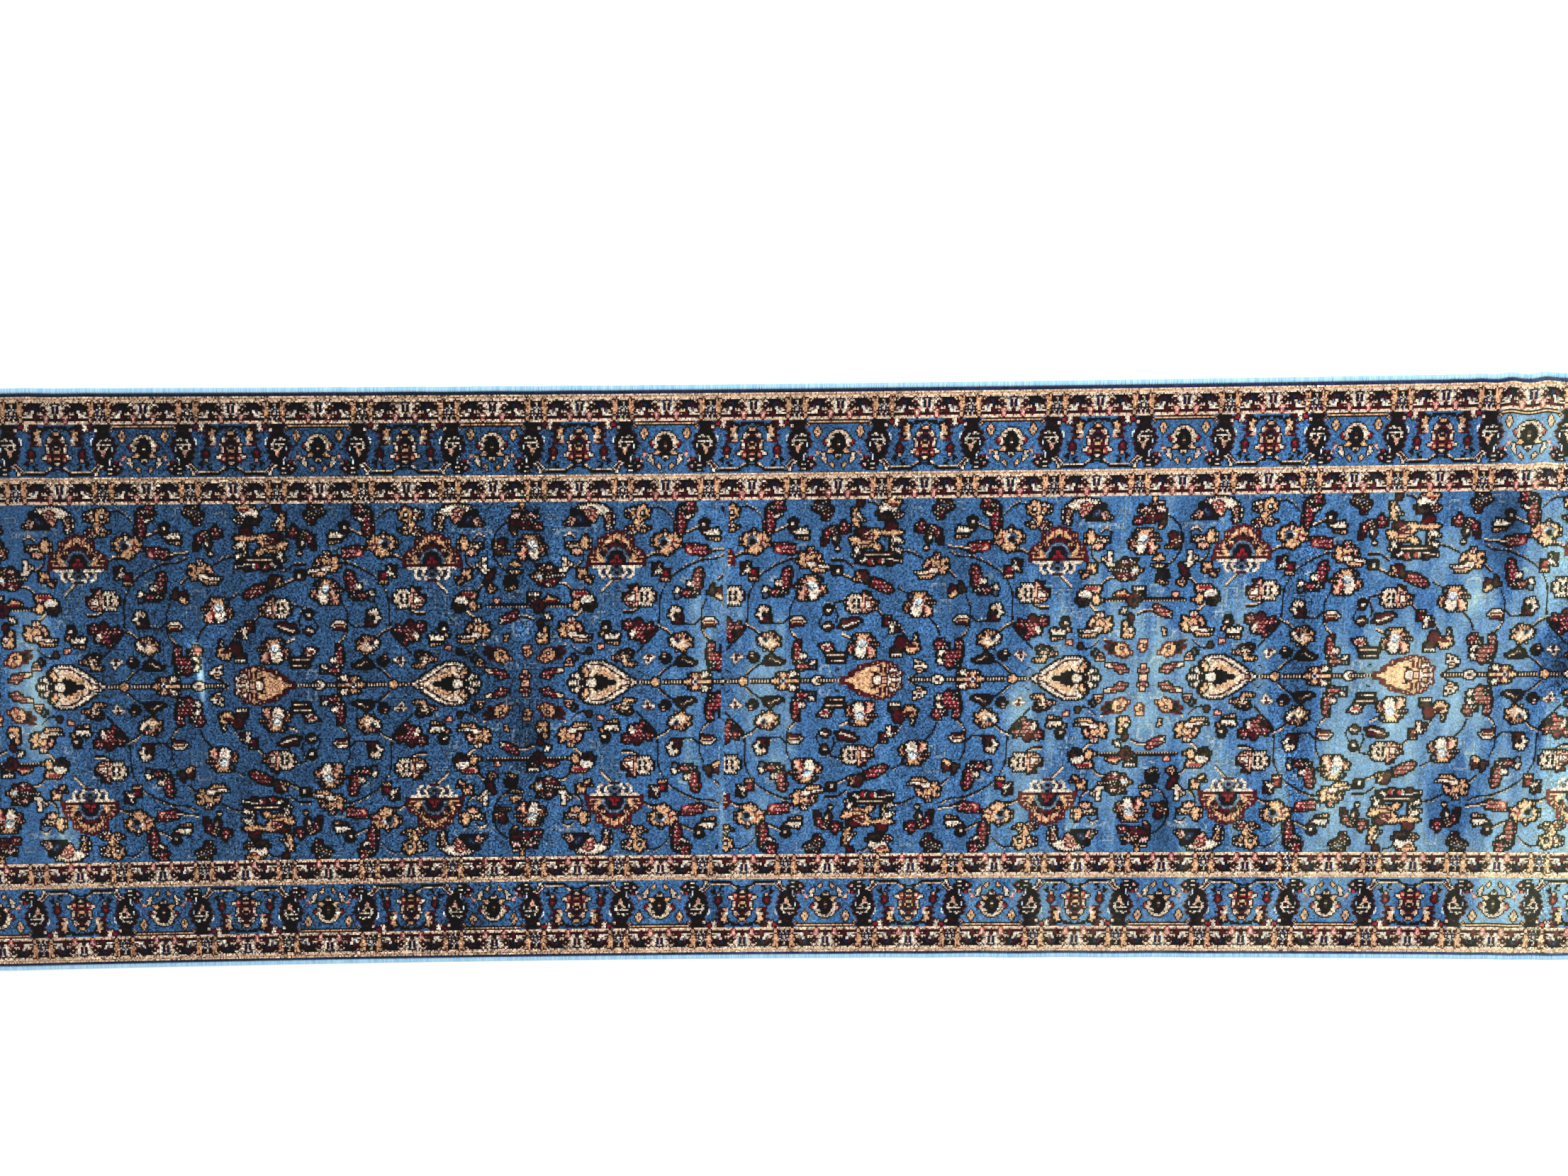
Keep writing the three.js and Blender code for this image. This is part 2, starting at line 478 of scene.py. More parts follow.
CHAIN_FLOWER = [
    (IVORY, disc(-5, 0, 6.8, 6.6, 9, 0.06)),
    (SALMON, area((1, 8), (4, 6), (6, 7), (7, 3), (11, 3), (11, -4), (8, -5), (4, -7), (0, -6), (-1, 0))),
    (IVORY, area((2, 4), (5, 3), (7, 0), (9, -3), (4, -4), (2, -2))),
    (MAROON, line((2, 8), (5, 5), (6, 7))),
    (MAROON, line((3, 2), (8, 2), (11, 1))),
    (MAROON, line((2, -3), (5, -5))),
    (BEIGE, disc(-5.2, 0, 5.2, 5.0)),
    (BLACK, box(-7.2, -3.6, -1, 3.6)),
    (IVORY, box(-5, -3.6, -3, 3.6)),
    (IVORY, box(-6.2, -0.8, -2, 0.8)),
]
SMALL_BALL = [
    (BROWN, disc(0, 0, 3.4, 3.3)),
    (BLACK, disc(0, 0.6, 3.2, 2.6)),
    (IVORY, disc(0.6, -0.4, 1.8, 1.3)),
]
LEAF_HOOK = [
    (IVORY, area((-8, 1), (-7, -1), (-1, -2), (5, 0), (8, 3), (4, 5), (2, 2), (-1, 3), (-3, 2), (-6, 4))),
    (CAMEL, area((-8, -3), (-7, -5), (0, -4), (4, -2), (-1, -2.6))),
    (BLACK, line((-7, -2), (2, -2))),
    (CAMEL, disc(5, 2.5, 2.2, 1.6)),
]
SQUARE_HOOK = [
    (MAROON, box(-5, -4, 1, 3)),
    (RED, box(-4, -1, 0, 2)),
    (CAMEL, box(-5, -5, 2, -3)),
    (IVORY, area((-1, 0), (1, 1), (1, 7), (4, 8), (4, 3), (8, 2), (7, -1), (2, 0))),
    (MAROON, box(4.5, 3, 8, 7)),
]
CRESCENT = [
    (IVORY, area((-6, -2), (-5, 2), (-2, 4), (2, 4), (5, 2), (6, -2), (4, -1), (-3, -1))),
    (CAMEL, area((-5, -2), (-3, 1), (3, 1), (5, -1))),
    (MAROON, area((-5, -2), (-3, -0.6), (3, -0.4), (5, -2), (5, -4), (2, -2.6), (-4, -3))),
]
DARK_LEAF = [
    (BLACK, area((-7, -1), (-4, 2), (0, 2), (2, 5), (4, 3), (8, 1), (7, -3), (1, -4), (-6, -3))),
    (BROWN, line((-5, -1), (-1, 0), (3, 1), (5, 0), w=1.8)),
    (BEIGE, line((-4, -1.6), (-1, -0.8), (1, 0.6))),
    (ROSE, line((3, 0.6), (4.4, 1.4))),
    (BROWN, line((0, 2.4), (3, 2.6))),
]

# Everything between two axes of the field, drawn once and turned over at every axis. The middle
# line of the rug is y = 0, and the axis that the repeat turns over on is just left of x = 0.
common = Panel(-200, 90, 0, 123)
AXIS = -1.5

SPADE = [   # cream palmette on the middle line
    (IVORY, area((-79, 0), (-77, 3), (-73, 4), (-71, 7), (-66, 9), (-63, 12), (-58, 13), (-56, 15.4),
                 (-48, 15.4), (-44, 14), (-40, 11), (-42, 5), (-44, 0))),
    (BEIGE, area((-75, 0), (-73, 2), (-69, 3.4), (-66, 6.4), (-62, 8), (-59, 11), (-55, 13), (-47, 13),
                 (-46, 0))),
    (CAMEL, area((-66, 3), (-62, 6), (-57, 8), (-52, 9), (-52, 6), (-58, 4))),
    (MAROON, line((-75, 0.6), (-71, 2.4), (-67, 5), (-63, 7.4), (-59, 10), (-56, 12), (-48, 12.6), w=1.3)),
    (BLACK, area((-65, 0), (-63, 2), (-60, 2), (-59, 4), (-56, 4), (-55, 6), (-52, 5), (-51, 7), (-49, 4),
                 (-42, 4), (-41, 0))),
    (CAMEL, area((-45, 4), (-46, 8), (-43, 12), (-39, 11), (-40, 7), (-43, 4))),
    (BLACK, line((-45.5, 4.5), (-45.5, 9), (-42.5, 11.5), (-40, 8))),
    (IVORY, area((-41, 2), (-39, 6), (-35, 7), (-33, 4), (-36, 3), (-38, 1))),
    (IVORY, area((-40, 0), (-38, 1.4), (-32, 2), (-31, 0))),
    (IVORY, disc(-47.5, 0, 3.6, 3.4)),
]
sew(common, SPADE)
sew(common, [   # small clouds over the palmette's tail
    (IVORY, area((-92, 16), (-92, 19), (-84, 19.5), (-83, 15), (-86, 12), (-89, 14))),
    (MAROON, line((-90, 18), (-86, 18))),
    (CAMEL, box(-89, 14, -86, 16)),
], edge=SLATE)
sew(common, [   # node where the two long branches leave the double stem
    (CAMEL, area((-95.4, 0), (-95.4, 1.6), (-93.6, 3.4), (-91, 3.4), (-89.6, 1.6), (-89, 0))),
])
sew(common, [(SLATE, ring(-81, 4.5, 3.8, 3.8, 1.2))], edge=None)
sew(common, [(BLACK, line((-84, 6), (-81, 8), (-79, 7)))], edge=None)
sew(common, [   # dark leaf on a camel foot
    (mottled, area((-77, 20), (-75, 23), (-70, 22), (-66, 21), (-65, 18), (-70, 16), (-76, 17))),
    (BEIGE, area((-75, 15), (-73, 19), (-69, 19), (-68, 14), (-72, 13))),
    (BROWN, line((-73, 15), (-71, 18))),
    (SALMON, area((-69, 15), (-66, 19), (-62, 18), (-62, 15), (-66, 15))),
    (MAROON, line((-66, 18), (-64, 16))),
    (CAMEL, area((-79, 11), (-78, 14), (-70, 14), (-70, 11))),
])
sew(common, [   # cluster of grapes with a dark crown
    (grapes, area((-92, 38), (-89, 41), (-86, 40), (-86, 36), (-90, 35))),
    (MAROON, area((-91, 36), (-86, 36), (-87, 31), (-90, 31))),
    (grapes, area((-85, 40), (-77, 39), (-75, 34), (-78, 29), (-84, 31))),
    (MAROON, disc(-79.5, 40.5, 3.4, 3.2, 3, 0.1)),
    (grapes, disc(-72, 39.5, 3.4, 3.2)),
    (IVORY, area((-78, 34), (-76, 37), (-73, 34), (-73, 30), (-76, 30))),
    (grapes, box(-85, 27, -82, 32)),
])
sew(common, CHAIN_FLOWER, -80, 58.5)
FAN = [     # great fan palmette, drawn about the middle of its foot
    *pair(CAMEL, area, (-20, 1), (-19, 6), (-15, 11), (-11, 9), (-9, 1)),
    *pair(CAMEL, area, (-12, 12), (-12, 17), (-7, 16), (-6, 11), (-9, 8)),
    (CAMEL, area((-7, 13), (-7, 20), (-3, 19), (0, 22), (3, 19), (7, 20), (7, 13), (0, 15))),
    *pair(SALMON, area, (-19, 6), (-15, 11), (-14, 8), (-17, 5)),
    *pair(MAROON, line, (-20, 6), (-15, 5)),
    *pair(MAROON, line, (-18, 3), (-14, 3)),
    *pair(MAROON, line, (-11, 17), (-9, 11)),
    *pair(RED, line, (-4, 20), (-3, 15)),
    (BLACK, disc(-10.5, 7, 1.7, 2)),
    (BLACK, disc(10.5, 7, 1.7, 2)),
    (BLACK, disc(-6.3, 12, 1.8, 2)),
    (BLACK, disc(6.3, 12, 1.8, 2)),
    (BLACK, disc(0, 15, 1.8, 1.8)),
    (SLATE, disc(0, 1, 9.6, 11)),
    (GHOST, ring(0, 1, 9.0, 10.2, 1.3)),
    (BLACK, disc(0, 1, 7.0, 8.4)),
    (NAVY, disc(0, 2, 5.6, 5.4)),
    (BLACK, disc(0, 2, 4.6, 4.8)),
    (RED, disc(-2.2, 1.2, 2.3, 2.2)),
    (RED, disc(2.2, 1.2, 2.3, 2.2)),
    (RED, disc(0, 4.0, 1.9, 2.4)),
    (MAROON, line((0, 0), (0, 3))),
    (MAROON, box(-20, -0.6, 20, 1)),
    (BLACK, box(-9, -0.6, -5, 0.8)),
    (BLACK, box(5, -0.6, 9, 0.8)),
]
sew(common, FAN, -64.4, 81, edge=MAROON)
for side in (-1, 1):
    sew(common, [   # two ivory tassels and a bar under each half of the fan
        (SLATE, box(0, -7, 4, -1)),
        (IVORY, area((7, -1), (19, -0.6), (19, -2.4), (13, -3), (8, -2.4))),
        (IVORY, line((7.5, -2), (11.6, -3), (12.2, -6), (10.6, -8.4), (8.4, -8.8), w=2.1)),
        (BROWN, line((8.4, -3.4), (10, -6.6), w=1.2)),
        (IVORY, line((3, -2), (5.6, -2.6), (6, -5.4), (4.6, -8.4), (2.6, -8.8), w=2.1)),
        (BROWN, line((2.4, -3.4), (3.8, -6.6), w=1.2)),
    ], -64.4, 81, flip=side, edge=None)
sew(common, [   # ring flower with two petals and a cup leaf
    (CAMEL, disc(0, 4.5, 5.2, 5, 8, 0.08)),
    (BLACK, disc(0, 3.6, 2.4, 2.4)),
    (IVORY, box(-1.5, 3, 1.5, 5)),
    (IVORY, disc(8.5, 4, 4, 3.6)),
    (CAMEL, disc(8, 3.4, 2.2, 2)),
    (IVORY, disc(8, -7, 4.4, 3)),
    (CAMEL, disc(8, -7, 2.4, 1.6)),
    (CAMEL, area((-5, -6), (-3, -9), (4, -8), (7, -3), (6, 0), (3, 1), (0, -4))),
    (IVORY, area((-3, -4), (1, -2), (2, -5), (-1, -6))),
    (BLACK, line((-5, -5), (-2, -6.5), (2, -6))),
], -82.5, 111)
sew(common, [   # crescent petal sheltering a rose and a dark dome
    (IVORY, area((-57, 104), (-63, 106), (-63, 113), (-58, 120), (-50, 122), (-38, 121), (-36, 118),
                 (-44, 117),
                 (-52, 116), (-57, 112), (-58, 107))),
    (CAMEL, area((-61, 107), (-61, 113), (-58, 116), (-58, 108))),
    (IVORY, box(-55, 114, -51, 119)),
    (SALMON, area((-51, 110), (-51, 117), (-47, 119), (-42, 118), (-43, 113), (-47, 109))),
    (RED, line((-50, 116), (-46, 117), (-42, 118))),
    (RED, line((-50, 112), (-47, 114), (-44, 112))),
    (IVORY, box(-47.5, 114, -45, 116.4)),
    (BLACK, area((-46, 107), (-44, 113), (-40, 117), (-35, 118), (-32, 116), (-33, 112), (-36, 107))),
    (NAVY, area((-42, 109), (-41, 113), (-37, 115), (-35, 112), (-37, 109))),
    (SLATE, line((-39, 110), (-37, 114))),
    (SALMON, area((-35, 108), (-34, 113), (-29, 112), (-28, 107), (-32, 107))),
    (IVORY, box(-33, 108, -30, 111)),
])
sew(common, [   # grey flower with a rose foot
    (CAMEL, area((-47, 91), (-47, 99), (-43, 101), (-40, 97), (-39, 92), (-44, 91))),
    (mottled, area((-41, 91), (-39, 96), (-29, 96), (-29, 92), (-33, 90))),
    (BEIGE, line((-38, 93), (-34, 94), (-31, 92))),
    (SALMON, area((-41, 88), (-40, 91), (-33, 91), (-33, 88), (-37, 87))),
    (RED, line((-40, 96), (-36, 95.6))),
])
vine(common, (-36, 98), (-32, 101), (-28, 99), (-29, 95), dashed=False)
sew(common, [   # key hook
    (CAMEL, box(-44, 71, -37, 78)),
    (MAROON, box(-43, 71, -40, 74)),
    (CAMEL, area((-49, 73), (-43, 73), (-43, 69), (-47, 68))),
    (IVORY, box(-48, 70.5, -45, 72)),
])
sew(common, [   # rose cap over an ivory petal and a dark one
    (SALMON, area((-46, 60), (-44, 63), (-33, 63), (-33, 58), (-37, 58), (-40, 59))),
    (IVORY, area((-50, 56), (-49, 60), (-44, 60), (-39, 58), (-40, 54), (-46, 55))),
    (CAMEL, area((-40, 56), (-37, 57), (-31, 54), (-31, 52), (-35, 50), (-39, 51))),
    (BROWN, area((-51, 51), (-51, 56), (-45, 55), (-42, 53), (-42, 50), (-47, 49))),
    (BLACK, area((-48, 50), (-48, 53), (-43, 53), (-43, 51))),
    (RED, line((-44, 61), (-36, 61))),
    (PALE, line((-46, 57), (-43, 56))),
])
sew(common, [   # ivory sprig
    (IVORY, area((-34, 84), (-31, 82), (-30, 86), (-27, 86), (-27, 80), (-24, 76), (-29, 75), (-31, 78),
                 (-34, 80))),
    (CAMEL, line((-33, 83), (-31, 80))),
])
sew(common, BIRD_FLOWER, -35.5, 34.5)
sew(common, LEAF_HOOK, -60, 31)
sew(common, SMALL_BALL, -57.5, 38.5)
sew(common, [(SALMON, area((-56, 24), (-55, 27), (-52, 26), (-51, 23), (-54, 23)))], edge=MAROON)
sew(common, [(BROWN, disc(-46, 22, 2, 2))])
vine(common, (-46, 21), (-42, 20), (-38, 21), (-33, 26))
sew(common, [   # camel leaf with a dark heel
    (BLACK, area((-29, 22), (-27, 25), (-22, 24), (-21, 18), (-26, 17))),
    (BROWN, line((-27, 22), (-23, 20))),
    (CAMEL, area((-23, 19), (-20, 24), (-15, 24), (-13, 21), (-9, 17), (-13, 14), (-20, 15))),
    (RED, line((-19, 15), (-16, 18), (-13, 15))),
    (IVORY, box(-19, 19, -16, 21)),
], edge=MAROON)
sew(common, [   # bud in a dark calyx
    (BLACK, area((-38, 15), (-37, 20), (-33, 18), (-34, 14))),
    (SLATE, line((-36, 16), (-35, 18))),
    (SALMON, area((-35, 12), (-33, 17), (-28, 16), (-29, 12))),
    (IVORY, box(-33, 13, -30, 15)),
])
sew(common, [
    (BEIGE, disc(-26, 8.4, 2.4, 1.6)),
    (grapes, area((-24, 8), (-22, 10), (-13, 8), (-12, 4), (-17, 3))),
])
sew(common, SQUARE_HOOK, -96.5, 74)
sew(common, [
    (grapes, area((-129, 88), (-128, 92), (-118, 94), (-112, 94), (-112, 89), (-118, 87), (-126, 86))),
])
sew(common, [(SALMON, area((-117, 88), (-114, 88), (-112, 90), (-114, 93)))], edge=RED)
sew(common, [   # camel flower with a dark eye
    (CAMEL, area((-109, 98), (-105, 102), (-101, 100), (-97, 104), (-94, 101), (-88, 100), (-88, 93),
                 (-93, 92),
                 (-92, 88), (-100, 86), (-105, 91), (-110, 92))),
    (SALMON, area((-109, 94), (-104, 96), (-102, 92), (-107, 91))),
    (RED, line((-104, 99), (-103, 96), (-106, 95))),
    (SLATE, disc(-96, 95.5, 3.6, 3.2)),
    (BLACK, disc(-96.4, 94.8, 2.6, 2.2)),
    (IVORY, box(-100, 99, -97, 102)),
    (PALE, line((-101, 96), (-98, 98))),
    (MAROON, line((-95, 100), (-92, 97))),
])
sew(common, [   # tall bunch of grapes
    (grapes, area((-119, 116), (-118, 123), (-113, 124), (-110, 119), (-114, 115))),
    (pale_grapes, area((-113, 116), (-112, 121), (-106, 120), (-105, 115), (-110, 114))),
    (grapes, area((-111, 101), (-112, 109), (-110, 115), (-105, 115), (-104, 103), (-107, 100))),
    (IVORY, area((-117, 113), (-115, 115), (-111, 112), (-112, 110))),
])
sew(common, LEAF_HOOK, -128, 101)
sew(common, SMALL_BALL, -124.5, 107.5)
sew(common, [   # dark flower near the guard
    (mottled, area((-154, 115), (-150, 118), (-149, 122), (-141, 122), (-137, 119), (-138, 115),
                   (-143, 114),
                   (-145, 109), (-149, 111), (-151, 114))),
    (MAROON, area((-149, 112), (-146, 114), (-144, 110), (-147, 109))),
    (IVORY, box(-149, 108.5, -147, 110)),
    (SLATE, line((-147, 118), (-142, 119))),
])
sew(common, [   # cross of grapes and dark leaves
    (grapes, area((-165, 103), (-162, 107), (-159, 109), (-157, 104), (-158, 100), (-163, 101))),
    (mottled, area((-156, 100), (-155, 105), (-150, 105), (-149, 100), (-152, 98))),
    (grapes, area((-150, 99), (-150, 104), (-145, 103), (-144, 98), (-147, 95))),
    (MAROON, area((-148, 97), (-144, 97), (-144, 92), (-147, 92))),
    (BROWN, area((-156, 99), (-153, 99), (-151, 94), (-154, 93), (-157, 95))),
    (IVORY, line((-153, 98), (-153, 95))),
    (BEIGE, area((-157, 89), (-155, 92), (-153, 91), (-155, 88))),
])
sew(common, [   # grapes bent like an elbow, with two ivory petals
    (grapes, area((-125, 75), (-123, 78), (-119, 77), (-118, 72), (-117, 69), (-117, 64), (-110, 63),
                  (-108, 59),
                  (-115, 58), (-119, 61), (-124, 66))),
    (pale_grapes, area((-122, 61), (-121, 64), (-115, 64), (-115, 60), (-119, 58))),
    (IVORY, disc(-115.5, 67, 2.6, 2.4)),
    (IVORY, disc(-106, 62.5, 2.6, 2.2)),
    (SLATE, disc(-106, 59, 2.6, 1.6)),
])
WHITE_FLOWER = [
    (IVORY, disc(0.6, 0.6, 5.2, 5.4, 5, 0.12, 1.2)),
    (BEIGE, disc(-0.6, 2.2, 2.6, 2.0)),
    (BROWN, disc(-0.4, -0.6, 2.6, 2.6)),
    (BLACK, disc(0.2, -0.4, 1.7, 1.7)),
    (MAROON, area((-5, -5), (-5, -1), (-2, -2), (2, -4), (2, -6), (-3, -6))),
]
sew(common, WHITE_FLOWER, -106, 46)
sew(common, [   # round face of camel petals
    (CAMEL, disc(-110.5, 27.5, 7.2, 6.2, 7, 0.10)),
    (IVORY, area((-105, 30), (-101, 31), (-100, 26), (-104, 25), (-106, 21), (-109, 23), (-107, 27))),
    (SALMON, area((-116, 32), (-112, 33), (-110, 29), (-115, 29))),
    (RED, line((-108, 33), (-106, 30), (-103, 32))),
    (BEIGE, disc(-110, 26, 4.2, 2.8)),
    (BLACK, box(-116, 30.4, -113, 31.6)),
    (SLATE, disc(-107, 28.4, 1.8, 2.2)),
    (BLACK, disc(-107, 28.6, 1.0, 1.2)),
])
sew(common, DARK_LEAF, -113.5, 14.5)
sew(common, [
    (BLACK, area((-104, 15), (-101, 19), (-96, 20), (-95, 15), (-99, 13))),
    (BROWN, line((-102, 15), (-98, 17))),
    (SALMON, disc(-97.6, 18.4, 1.6, 1.8)),
    (IVORY, box(-99, 16.6, -97.4, 18)),
])
sew(common, [   # rosette that straddles the middle line
    (MAROON, area((-125, 0), (-125, 6.4), (-118, 6.4), (-116, 4), (-115, 0))),
    (IVORY, area((-131, 0), (-131, 5), (-129, 6.6), (-125.4, 6.6), (-125, 3), (-124, 0))),
    (BLACK, box(-129.2, 1.2, -125.2, 3.2)),
    (CAMEL, box(-131, 0, -122, 1.1)),
    (SALMON, box(-125, 3, -123.4, 6)),
    (CAMEL, disc(-119.6, 4, 2.1, 1.9)),
    (PALE, line((-121.6, 0.6), (-120, 1.8), (-118.4, 0.6), w=1.3)),
    (IVORY, box(-117.4, 2.6, -115.4, 5)),
    (CAMEL, disc(-114.8, 0, 2.5, 2.2)),
])
sew(common, [(IVORY, area((-148, 0), (-147, 3), (-141, 3), (-140, 0))), (MAROON, box(-146, 0, -143, 1.4))])
sew(common, CRESCENT, -129, 40.5)
def twisted(x, y):
    """A thin beige stem all but buried in black."""
    return np.where(np.floor(x) % 2 == 0, BEIGE, BLACK)


for start, end in ((-113, -97), (-88, -79), (-140, -132), (-165, -149)):
    sew(common, [(BLACK, box(start, 1, end, 2.3)), (twisted, box(start, 0, end, 1))], edge=None, under=True)
vine(common, (-79, 20), (-84, 26), (-90, 31), (-94, 37))
vine(common, (-94, 40), (-94.5, 50), (-95, 60), (-99, 68), (-105, 74), (-113, 79), (-123, 83), (-134, 84),
     (-140, 87))
vine(common, (-87, 118), (-93, 119), (-98, 116), (-103, 111))
vine(common, (-95, 87), (-89, 87), (-84, 84), dashed=False)
vine(common, (-64, 71), (-59, 66), (-54, 61), dashed=False)
vine(common, (-81, 51), (-76, 48), (-69, 48), dashed=False)
vine(common, (-107, 14), (-100, 9), (-94, 4))
vine(common, (-103, 32), (-98, 36), (-93, 38), dashed=False)
vine(common, (-111, 40), (-119, 39.5), (-123, 43), (-124, 51), (-127, 57))
vine(common, (-123, 37), (-126, 31), (-130, 28), dashed=False)
vine(common, (-121, 105), (-112, 101), dashed=False)
vine(common, (-42, 50), (-38, 46), (-34, 44), dashed=False)
vine(common, (-42, 88), (-41, 83), (-38, 79), (-32, 78), dashed=False)
vine(common, (-34, 63), (-29, 67), (-24, 68), dashed=False)
vine(common, (-30, 26), (-27, 24), dashed=False)
STRAY_FRAMES = (
    (-58, 56, 9, 9), (-50, 43, 6, 4), (-43, 67, 7, 4), (-54, 47, 7, 3), (-64, 20, 8, 5), (-46, 105, 8, 4),
    (-70, 61, 8, 5), (-70, 121, 9, 3), (-30, 103, 14, 2), (-22, 30, 8, 4), (-63, 68, 7, 3),
    (-35, 108, 8, 4),
    (-134, 118, 7, 5), (-112, 70, 5, 2), (-150, 50, 6, 6),
)
stray_hooks(common, STRAY_FRAMES, inset=2, past=1)

# What fills the strip on the axis between two cream palmettes: these are not turned over.
between_spades = Panel(-60, 60, 0, 123)
sew(between_spades, [   # tall crown at the guard
    (CAMEL, box(-0.6, 117, 2.4, 123)),
    (mottled, area((-11, 112), (-10, 117), (-5, 116), (-1, 117), (1, 113), (0, 110), (-7, 111))),
    (ROSE, line((-9, 113), (-6, 115), (-2, 113))),
    (grapes, area((-5, 105), (-5, 110), (1, 112), (3, 107), (0, 105))),
    (BROWN, box(-3, 106, 0, 109)),
    (IVORY, disc(-6.4, 110, 2, 1.5)),
    (grapes, disc(-10.5, 106.5, 3.6, 2.8)),
    (MAROON, box(0, 106, 9, 111)),
    (ROSE, box(3, 112.4, 9, 116)),
])
for level in (111.5, 118):
    sew(between_spades, [(BEIGE, box(1, level, 9, level + 1))])
sew(between_spades, PALE_FLOWER, -5, 92.5)
sew(between_spades, [   # rose flower on an ivory stalk
    (mottled, area((-24, 75), (-24, 79), (-20, 80), (-18, 82), (-15, 81), (-9, 81), (-10, 77), (-14, 74),
                   (-20, 74))),
    (MAROON, line((-22, 77), (-17, 76), (-14, 79))),
    (ROSE, line((-20, 79), (-16, 78))),
    (grapes, area((-29, 71), (-27, 72), (-20, 72), (-11, 71), (-10, 67), (-14, 68), (-18, 66), (-22, 67),
                  (-24, 70))),
    (MAROON, line((-26, 71), (-18, 70), (-13, 69))),
    (IVORY, area((-19, 68), (-17, 69), (-15, 66), (-18, 66))),
    (IVORY, area((-30, 75), (-24, 74), (-15, 73), (-15, 72), (-28, 73))),
    (CAMEL, area((-14, 71), (-13, 75), (-8, 76), (-5, 74), (-6, 71), (-10, 70))),
    (PALE, disc(-11, 72.8, 1.9, 1.7)),
])
sew(between_spades, [   # maroon ball with a camel wing and a dark wing
    (CAMEL, area((-25, 56), (-23, 59), (-18, 60), (-14, 57), (-14, 55), (-22, 55))),
    (RED, area((-24, 55), (-22, 57), (-16, 57), (-14, 55))),
    (mottled, area((-11, 55), (-10, 60), (-3, 60), (-3, 56), (-7, 55))),
    (IVORY, box(-12, 60, -2.5, 62)),
    (MAROON, disc(-10.6, 53, 4.2, 4.6)),
    (BLACK, disc(-10.6, 53, 1.6, 2)),
])
sew(between_spades, [   # ivory sprig with a red leaf
    (IVORY, area((-20, 48), (-16, 48), (-16, 44), (-18, 43), (-20, 45))),
    (MAROON, area((-14, 42), (-13, 44), (-10, 43), (-11, 37), (-13, 38))),
    (CAMEL, area((-18, 28), (-18, 39), (-15, 39), (-13, 36), (-13, 31), (-10, 30), (-10, 27), (-15, 27))),
    (IVORY, area((-14, 36), (-11, 35), (-7, 30), (-12, 30), (-15, 34))),
])
sew(between_spades, [
    (CAMEL, area((-6, 20), (-5, 26), (0, 26), (0, 19), (-4, 18))),
    (RED, line((-4, 24), (-1, 23))),
    (IVORY, box(-3, 20, -1, 22)),
], edge=MAROON)
sew(between_spades, [
    (SALMON, area((-4, 0), (-5, 5), (-3, 9), (0, 9), (2, 5), (1, 0))),
    (grapes, box(-4, 2, 1, 7)),
])
sew(between_spades, [
    (BROWN, area((4, 102), (5, 107), (9, 107), (9, 103))),
    (CAMEL, area((4, 101), (5, 104), (8, 102))),
])
sew(between_spades, [   # curled leaf
    (CAMEL, area((9, 88), (13, 93), (19, 95), (21, 97), (21, 92), (16, 88))),
    (MAROON, area((11, 95), (12, 99), (17, 98), (18, 94), (13, 93))),
    (IVORY, line((11, 89), (15, 91), (20, 93))),
    (BROWN, area((14, 89), (20, 92), (20, 89), (17, 87))),
])
sew(between_spades, [(CAMEL, area((1, 80), (3, 83), (8, 84), (9, 80), (5, 79)))])
sew(between_spades, [
    (BLACK, area((4, 68), (5, 73), (12, 73), (13, 68), (11, 65), (7, 65))),
    (NAVY, line((7, 67), (9, 71))),
    (CAMEL, line((4, 71), (5, 66), (11, 64), w=1.5)),
])
sew(between_spades, [
    (MAROON, area((19, 75), (20, 78), (25, 75), (27, 69), (23, 69), (21, 71))),
    (CAMEL, disc(21.5, 65, 3.6, 3)),
    (IVORY, box(20, 64, 22, 66)),
])
sew(between_spades, [(SALMON, box(16, 54.6, 20, 58))], edge=MAROON)
sew(between_spades, [
    (grapes, area((2, 48), (5, 50), (12, 47), (17, 43), (13, 41), (5, 44))),
    (IVORY, disc(15.5, 43, 1.8, 1.8)),
])
sew(between_spades, [(CAMEL, area((10, 30), (10, 34), (13, 33), (13, 29)))])
for start, end in ((-31, -15), (-6, 26)):
    sew(between_spades, [
        (BLACK, box(start, 53, end, 55)),
        (twisted, box(start, 52, end, 53)),
    ], edge=None, under=True)
sew(between_spades, [(twisted, box(0, 75.4, 11, 76.6))], under=True)
vine(between_spades, (10, 76), (15, 79), (20, 86), (21, 95), (19, 102), (14, 108), (9, 110))
vine(between_spades, (-8, 43), (-3, 45), (5, 46), (10, 42), dashed=False)
stray_hooks(between_spades, ((2, 38, 10, 10), (-25, 103, 9, 3), (-20, 113, 7, 3), (5, 61, 9, 4),
                             (8, 12, 8, 4), (-6, 12, 9, 3)), foot=-0.5)

